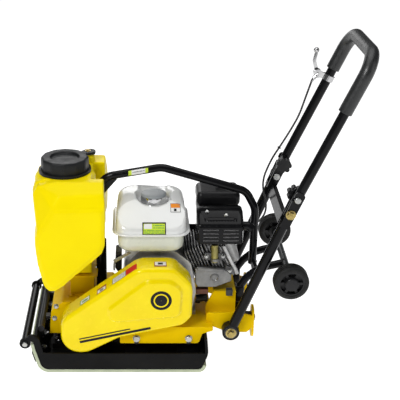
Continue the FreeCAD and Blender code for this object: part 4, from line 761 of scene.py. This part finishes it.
def grown(outline, distance):
    """Moves a closed outline outwards by distance (inwards if it is negative)."""
    count = len(outline)
    area = sum(a.x * b.y - b.x * a.y for a, b in zip(outline, outline[1:] + outline[:1]))
    sign = 1 if area > 0 else -1
    made = []
    for i in range(count):
        along = (outline[(i + 1) % count] - outline[i - 1]).normalized()
        made.append(outline[i] + Vector((along.y, -along.x)) * sign * distance)
    return made


def signed_distance(point, outline):
    """Distance to a closed outline, negative inside it."""
    nearest, inside = 1e9, False
    for a, b in zip(outline, outline[1:] + outline[:1]):
        span = b - a
        part = min(max((point - a).dot(span) / span.length_squared, 0), 1)
        nearest = min(nearest, (point - a - span * part).length)
        if (a.y > point.y) != (b.y > point.y):
            if point.x < a.x + (point.y - a.y) / (b.y - a.y) * (b.x - a.x):
                inside = not inside
    return -nearest if inside else nearest


def guard_front(bm, edge):
    """The guard's front face inside its edge, with the pressed island standing out of it."""
    island = rounded_outline(ISLAND, ISLAND_RADII, 4.0)
    loops = [edge] + [grown(island, d) for d in (7, 5.5, 4, 2.5, 1, -0.5, -2, -3.5)]
    points, edges = [], []
    for loop in loops:
        start = len(points)
        points += loop
        edges += [(start + i, start + (i + 1) % len(loop)) for i in range(len(loop))]
    for ix in range(GRID_COUNT[0]):
        for iz in range(GRID_COUNT[1]):
            spot = Vector((GRID_START[0] + GRID_PITCH * ix, GRID_START[1] + GRID_PITCH * iz))
            away = signed_distance(spot, island)
            if signed_distance(spot, edge) < -4 and not -8 < away < 11:
                points.append(spot)
    found = geometry.delaunay_2d_cdt(points, edges, [list(range(len(edge)))], 1, 0.001)
    made = []
    for spot in found[0]:
        away = signed_distance(spot, island)
        rise = ISLAND_RISE * (1 - eased((away + 3.5) / ISLAND_EASE))
        made.append(bm.verts.new(Vector((spot.x, GUARD_FACE - rise, spot.y)) * MM))
    for face in found[2]:
        bm.faces.new([made[i] for i in face])


def make_belt_guard():
    """Pressed guard: a rim, a rounded shoulder and the embossed front."""
    outline = rounded_outline(GUARD_OUTLINE, GUARD_RADII)
    over_deck = [p.x > -6 and p.y < DECK_TOP + 3 for p in outline]
    back = []
    for point, short in zip(outline, over_deck):
        depth = DECK_SIDE - 3.5 if short else GUARD_BACK
        back.append(Vector((point.x, depth, point.y)) * MM)
    rings = [back]
    for degrees in range(0, 91, 10):
        turn = math.radians(degrees)
        line = grown(outline, -GUARD_ROUND * (1 - math.cos(turn)))
        depth = GUARD_FACE + GUARD_ROUND * (1 - math.sin(turn))
        rings.append([Vector((p.x, depth, p.y)) * MM for p in line])
    bm = bmesh.new()
    bridge_rings(bm, rings, False, False)
    guard_front(bm, grown(outline, -GUARD_ROUND))
    bmesh.ops.remove_doubles(bm, verts=bm.verts, dist=0.00002)
    guard = from_bmesh("belt_guard_pressing", bm, "yellow_steel", CHASSIS, angle=75)
    add_modifier(guard, "SOLIDIFY", thickness=GUARD_SHEET, offset=-1)
    bake(guard)
    guard.data.shade_smooth()
    guard.data.set_sharp_from_angle(angle=math.radians(75))
    add_modifier(guard, "WEIGHTED_NORMAL", keep_sharp=True)
    bake(guard)
    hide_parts("belt_guard")
    return guard


def flat_ring(name, centre, inner, outer, material):
    """A thin flat ring that faces the near side."""
    bm = bmesh.new()
    rings = [ring_points(Vector(centre) * MM, (0, -1, 0), radius * MM, BADGE_POINTS)
             for radius in (inner, outer)]
    bridge_rings(bm, rings, False, False)
    from_bmesh(name, bm, material, CHASSIS, smooth=False)


def dress_guard(guard):
    """Stickers without lettering: a ring badge, a plain stripe and four pictogram blanks."""
    face = GUARD_FACE - ISLAND_RISE
    flat_ring("badge_disc", (111, face - 0.25, 230), 0.5, 29, "label_black")
    flat_ring("badge_ring", (111, face - 0.4, 230), 17, 20.5, "yellow_steel")
    trees = bvh_of(guard)
    stripes = [(0, 0.0, 1, 0.42, "label_black"), (0.0, 0.66, 0.72, 0.86, "label_black")]
    decal("guard_stripe", trees, (-112, GUARD_FACE, 92), (196, 0, 45), (-4, 0, 17), (0, 1, 0),
          stripes)
    down = Vector((0.598, 0, -0.803))
    slope = Vector((0.803, 0, 0.598))
    corner = Vector((-150, -159, 172)) + slope * 160
    first = [(0, 0, 0.56, 1, "label_grey"), (0.03, 0.08, 0.53, 0.92, "label_white"),
             (0.56, 0, 1, 1, "label_red")] + text_lines(0.08, 0.15, 0.5, 0.85, 3, "label_grey")
    decal("guard_label_a", trees, corner, slope * 82, (0, 32, 0), down, first)
    corner = Vector((-150, -158, 172)) + slope * 107
    second = [(0, 0, 1, 1, "label_brown"), (0.08, 0.1, 0.92, 0.66, "label_white"),
              (0.3, 0.2, 0.7, 0.56, "label_grey")]
    decal("guard_label_b", trees, corner, slope * 32, (0, 30, 0), down, second)
    corner = Vector((-150, -156, 172)) + slope * 48
    third = [(0, 0, 1, 1, "label_green"), (0.07, 0.1, 0.93, 0.9, "label_white"),
             (0.2, 0.3, 0.8, 0.62, "label_green")]
    decal("guard_label_c", trees, corner, slope * 34, (0, 26, 0), down, third)
    fourth = [(0, 0, 1, 1, "label_brown"), (0.06, 0.25, 0.94, 0.94, "label_white"),
              (0.3, 0.4, 0.7, 0.8, "label_black")]
    decal("guard_label_d", trees, (92, -156, 321), (34, 0, 0), (0, 30, 0), (0, 0, -1), fourth)


def dress_tanks(shell):
    """The blank stickers of the fuel tank and the carrying frame."""
    trees = bvh_of(shell)
    note = [(0, 0, 1, 1, "label_black"), (0.045, 0.09, 0.955, 0.91, "label_lime"),
            (0.07, 0.56, 0.40, 0.9, "label_white")]
    note += text_lines(0.07, 0.1, 0.93, 0.5, 3, "label_green")
    note += text_lines(0.46, 0.56, 0.93, 0.88, 2, "label_green")
    decal("tank_label_a", trees, (60, -113, 396), (64, 0, 0), (0, 0, 29), (0, 1, 0), note)
    warning = [(0, 0, 1, 1, "label_grey"), (0.06, 0.5, 0.94, 0.94, "label_orange"),
               (0.06, 0.06, 0.94, 0.48, "label_white"), (0.35, 0.12, 0.6, 0.4, "label_black")]
    decal("tank_label_b", trees, (137, -76, 458), (28, 0, 0), (0, 28, 15), (0, 0.4, -0.9),
          warning)
    frame_tree = bvh_of(NODES["roll_frame"])
    plate = [(0, 0, 0.16, 1, "label_lime"), (0.16, 0, 0.86, 1, "label_white"),
             (0.86, 0, 1, 1, "label_lime")]
    plate += text_lines(0.2, 0.3, 0.82, 0.8, 1, "label_grey")
    decal("frame_label", frame_tree, (22, -9, 527), (54, 0, 9.6), (0, 8, 10), (0, 0.8, -0.45),
          plate)


# ---- engine dress-up ----------------------------------------------------------------------------
def rounded_plate(name, outline, y0, y1, material, bevel):
    """A flat convex plate between y0 and y1 with rounded edges."""
    bm = bmesh.new()
    hull(bm, slab(outline, y0) + slab(outline, y1))
    bmesh.ops.dissolve_limit(bm, angle_limit=math.radians(2), verts=bm.verts, edges=bm.edges)
    obj = from_bmesh(name, bm, material, CHASSIS)
    add_modifier(obj, "BEVEL", width=bevel * MM, segments=3)
    bake(obj)
    obj.data.shade_smooth()


def bolts(name, seats, axis, flats, height):
    """Hexagon heads of one size on the engine or the chassis."""
    bm = bmesh.new()
    for seat in seats:
        hex_head(bm, seat, axis, flats, height)
    from_bmesh(name, bm, "zinc", CHASSIS, angle=25)


LOUVRE_LEFT, LOUVRE_LENGTH = (226, 281), 43
LOUVRE_ROWS, LOUVRE_LOW, LOUVRE_PITCH, LOUVRE_GAP = 4, 366, 10.5, 4.2
HOLE_COUNT, HOLE_LEFT, HOLE_PITCH, HOLE_WIDTH = 12, 230, 7.8, 4


def make_muffler_guard():
    """The pressed black guard over the muffler: louvres, a perforated row and a cut-out end."""
    outer = [(-94, 354), (-8, 356), (-8, 442), (-46, 441), (-94, 414)]
    inner = [(-91.8, 330), (-10.2, 330), (-10.2, 439), (-45.5, 438), (-91.8, 412)]
    shell, core = bmesh.new(), bmesh.new()
    hull(shell, [(x, y, z) for x in (210, 338) for y, z in outer])
    hull(core, [(x, y, z) for x in (212.2, 335.8) for y, z in inner])
    bmesh.ops.dissolve_limit(shell, angle_limit=math.radians(2), verts=shell.verts,
                             edges=shell.edges)
    guard = from_bmesh("muffler_guard_pressing", shell, "black_steel", CHASSIS, angle=40)
    add_modifier(guard, "BEVEL", width=0.010, segments=5)
    bake(guard)
    for left in LOUVRE_LEFT:
        for row in range(LOUVRE_ROWS):
            low = LOUVRE_LOW + LOUVRE_PITCH * row
            hull(core, [(x, y, z) for x in (left, left + LOUVRE_LENGTH) for y in (-99, -88)
                        for z in (low, low + LOUVRE_GAP)])
    for i in range(HOLE_COUNT):
        left = HOLE_LEFT + HOLE_PITCH * i
        hull(core, [(x, y, z) for x in (left, left + HOLE_WIDTH) for y, z in
                    ((-92, 421), (-76, 421), (-88, 429), (-72, 429))])
    turned(core, (325, -62, 400), (1, 0, 0), [(0, 17), (20, 17)], 40)
    cutter = from_bmesh("muffler_guard_core", core, "black_steel", None, smooth=False)
    add_modifier(guard, "BOOLEAN", operation="DIFFERENCE", object=cutter, solver="EXACT",
                 use_self=True)
    bake(guard)
    bpy.data.objects.remove(cutter)
    guard.data.shade_smooth()
    guard.data.set_sharp_from_angle(angle=math.radians(40))
    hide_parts("muffler_guard")
    rounded_plate("muffler_shield", [(218, 362), (330, 362), (330, 408), (218, 408)], -90.6, -89.4,
                  "soot_grey", 0.4)
    screen = bmesh.new()
    hull(screen, [(x, y, z) for x in (226, 326) for y, z in
                  ((-86, 414), (-85, 413), (-68, 424), (-67, 423))])
    from_bmesh("muffler_screen", screen, "soot_grey", CHASSIS)


def make_engine_details():
    """Castings, plates, pipes and nuts of the engine's near side and front."""
    shroud = [(207, 278), (214, 284), (288, 279), (309, 262), (309, 240), (266, 222), (216, 222),
              (208, 236)]
    rounded_plate("side_shroud", shroud, -86, -80, "cast_grey", 2.2)
    rounded_plate("side_shroud_fold", [(212, 283), (288, 278), (286, 268), (214, 272)], -87, -70,
                  "cast_grey", 2.0)
    boss = bmesh.new()
    turned(boss, (262, -85.5, 252), (0, -1, 0),
           [(0, 13), (2.5, 11.5), (3.2, 9), (1.6, 7), (1.4, 1)], 32)
    from_bmesh("shroud_boss", boss, "cast_grey", CHASSIS)
    tube("push_rod_pipe", [(261, -82, 300), (261, -82, 322), (260, -80, 350)], 10, "olive", CHASSIS)
    tube("pipe_collar", [(261, -82, 304), (261, -82, 311)], 13, "cast_grey", CHASSIS)
    rounded_plate("exhaust_flange", [(228, 312), (236, 304), (286, 305), (293, 312), (288, 326),
                                     (234, 326)], -82, -77, "dark_fins", 1.5)
    bolts("exhaust_nuts", [(238, -82, 317), (284, -82, 317)], (0, -1, 0), 8, 6)
    rounded_plate("head_flange", [(281, 344), (290, 347), (331, 259), (322, 256)], -78, -60,
                  "aluminium", 1.5)
    rounded_plate("head_gasket", [(273, 341), (277, 343), (318, 255), (314, 253)], -76, -60,
                  "cast_grey", 0.8)
    rounded_plate("cover_ear", [(292, 290), (312, 282), (320, 262), (300, 258), (290, 272)],
                  -84, -78, "dark_fins", 1.5)
    bolts("ear_bolt", [(304, -84, 273)], (0, -1, 0), 8, 5)
    rounded_plate("coil_block", [(213, 209), (247, 209), (247, 193), (213, 193)], -74, -56,
                  "rust_brown", 2.0)
    rounded_plate("frame_clamp_block", [(296, 216), (314, 216), (314, 197), (296, 197)], -92, -76,
                  "dark_steel", 1.5)
    bolts("guard_bolts", [(238, -53, 437.5), (290, -64, 431.5)], (0, -0.49, 0.87), 7, 4)
    bolts("bridge_bolts", [(-182, -94, 166), (-188, -94, 128)], (0, -1, 0), 10, 6)
    rounded_plate("governor_box", [(-14, 318), (3, 322), (3, 262), (-6, 256), (-16, 272)], -66, -12,
                  "black_plastic", 2.5)
    rounded_plate("governor_plate", [(-22, 300), (22, 326), (30, 322), (-14, 292)], -74, -71,
                  "zinc", 0.8)
    tube("governor_spring", [(-18, -72, 268), (-20, -70, 284), (-16, -72, 298)], 2.6, "steel",
         CHASSIS)


# ---- running gear and handle --------------------------------------------------------------------
WHEEL_AT = (461.0, 284.0)        # X and Z of the axle
FOOT_AT, PIVOT_AT = (307, 114), (451, 474)       # X and Z of the handle's lower and fold bolts


def make_gold_heads():
    """Yellow zinc on the flanged heads of the four bolts the handle turns and folds on."""
    heads = bmesh.new()
    for (x, z), seat, radius in ((FOOT_AT, 154.0, 15.3), (PIVOT_AT, 157.3, 11.5)):
        for side in SIDES:
            flange = [(0, radius), (1.7, radius), (2.4, radius - 1), (2.5, 1)]
            turned(heads, (x, side * seat, z), (0, side, 0), flange, 32)
            hex_head(heads, (x, side * (seat + 2), z), (0, side, 0), 18.8, 8.6)
    from_bmesh("yellow_zinc_heads", heads, "gold_zinc", CHASSIS, angle=25)


def make_hub_caps():
    """Domed caps on the wheels' outer faces."""
    for side, body in ((-1, "wheel_left"), (1, "wheel_right")):
        cap = bmesh.new()
        turned(cap, (WHEEL_AT[0], side * 189, WHEEL_AT[1]), (0, side, 0),
               [(0, 19), (4.5, 18.4), (6.5, 16.5), (7.2, 12), (7.4, 1)], 40)
        from_bmesh(f"{body}_hub_cap", cap, "black_plastic", body)


def make_zip_tie():
    """The band of a cable tie round the throttle cable."""
    ring = bmesh.new()
    turned(ring, (452, 120, 562), (0.5, 0, 0.86),
           [(0, 4.6), (0.4, 5.2), (3.2, 5.2), (3.6, 4.6)], 20)
    from_bmesh("cable_tie", ring, "black_plastic", HANDLE)


# ---- throttle cable -----------------------------------------------------------------------------
CABLE_RADIUS = 2.8
CABLE = [(536, 132, 762), (527, 128, 735), (516, 124, 700), (504, 121, 660), (482, 121, 615),
         (458, 120, 572), (436, 118, 536), (422, 115, 504), (412, 112, 476), (410, 107, 444),
         (420, 100, 410), (422, 92, 376), (404, 86, 348), (376, 92, 330), (346, 100, 322),
         (316, 108, 322), (288, 112, 328)]


def make_cable():
    """One cable that bends across the fold, with the ferrule and adjuster of its upper end."""
    cable = tube("throttle_cable", CABLE, CABLE_RADIUS, "rubber", None)
    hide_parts("throttle_cable_upper", "throttle_cable_lower")
    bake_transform(cable)
    tube("cable_ferrule", [(534, 131.5, 755), (538, 132, 762), (541, 132.5, 767)], 3.9, "chrome",
         HANDLE)
    tube("cable_adjuster", [(539.5, 132.3, 764.5), (544, 133, 770), (550, 134, 777)], 5.6,
         "chrome", HANDLE)


# ---- the nodes kept from the CAD ----------------------------------------------------------------
def paint_nodes():
    """Every CAD node gets the finish of its material slot, or one of its own."""
    special = {"cylinder": "dark_fins", "water_tank_cap": "cap_plastic",
               "rocker_cover": "aluminium", "muffler": "black_steel",
               # the deck and the tank's support take the darker copy of the yellow paint: painted
               # shade
               "engine_deck": "shaded_yellow_steel", "tank_support": "shaded_yellow_steel",
               "base_plate": "cast_iron", "wheel_axle": "dark_steel",
               "upper_handle": "black_steel"}
    slots = {s["node"]: s["material_slot"] for s in frame["record"]["subparts"]}
    for name, obj in NODES.items():
        material = MATERIALS[special.get(name, slots[name])]
        for holder in obj.material_slots:
            holder.material = material


def main():
    make_camera()
    make_materials()
    make_lights()
    make_floor()
    paint_nodes()
    make_water_tank()
    make_cap_strap()
    make_water_cap()
    make_muffler_guard()
    fuel_tank = make_fuel_tank()
    make_fuel_cap_skirt()
    make_cable()
    make_zip_tie()
    make_gold_heads()
    dress_guard(make_belt_guard())
    dress_tanks(fuel_tank)
    make_engine_details()
    make_hub_caps()


main()
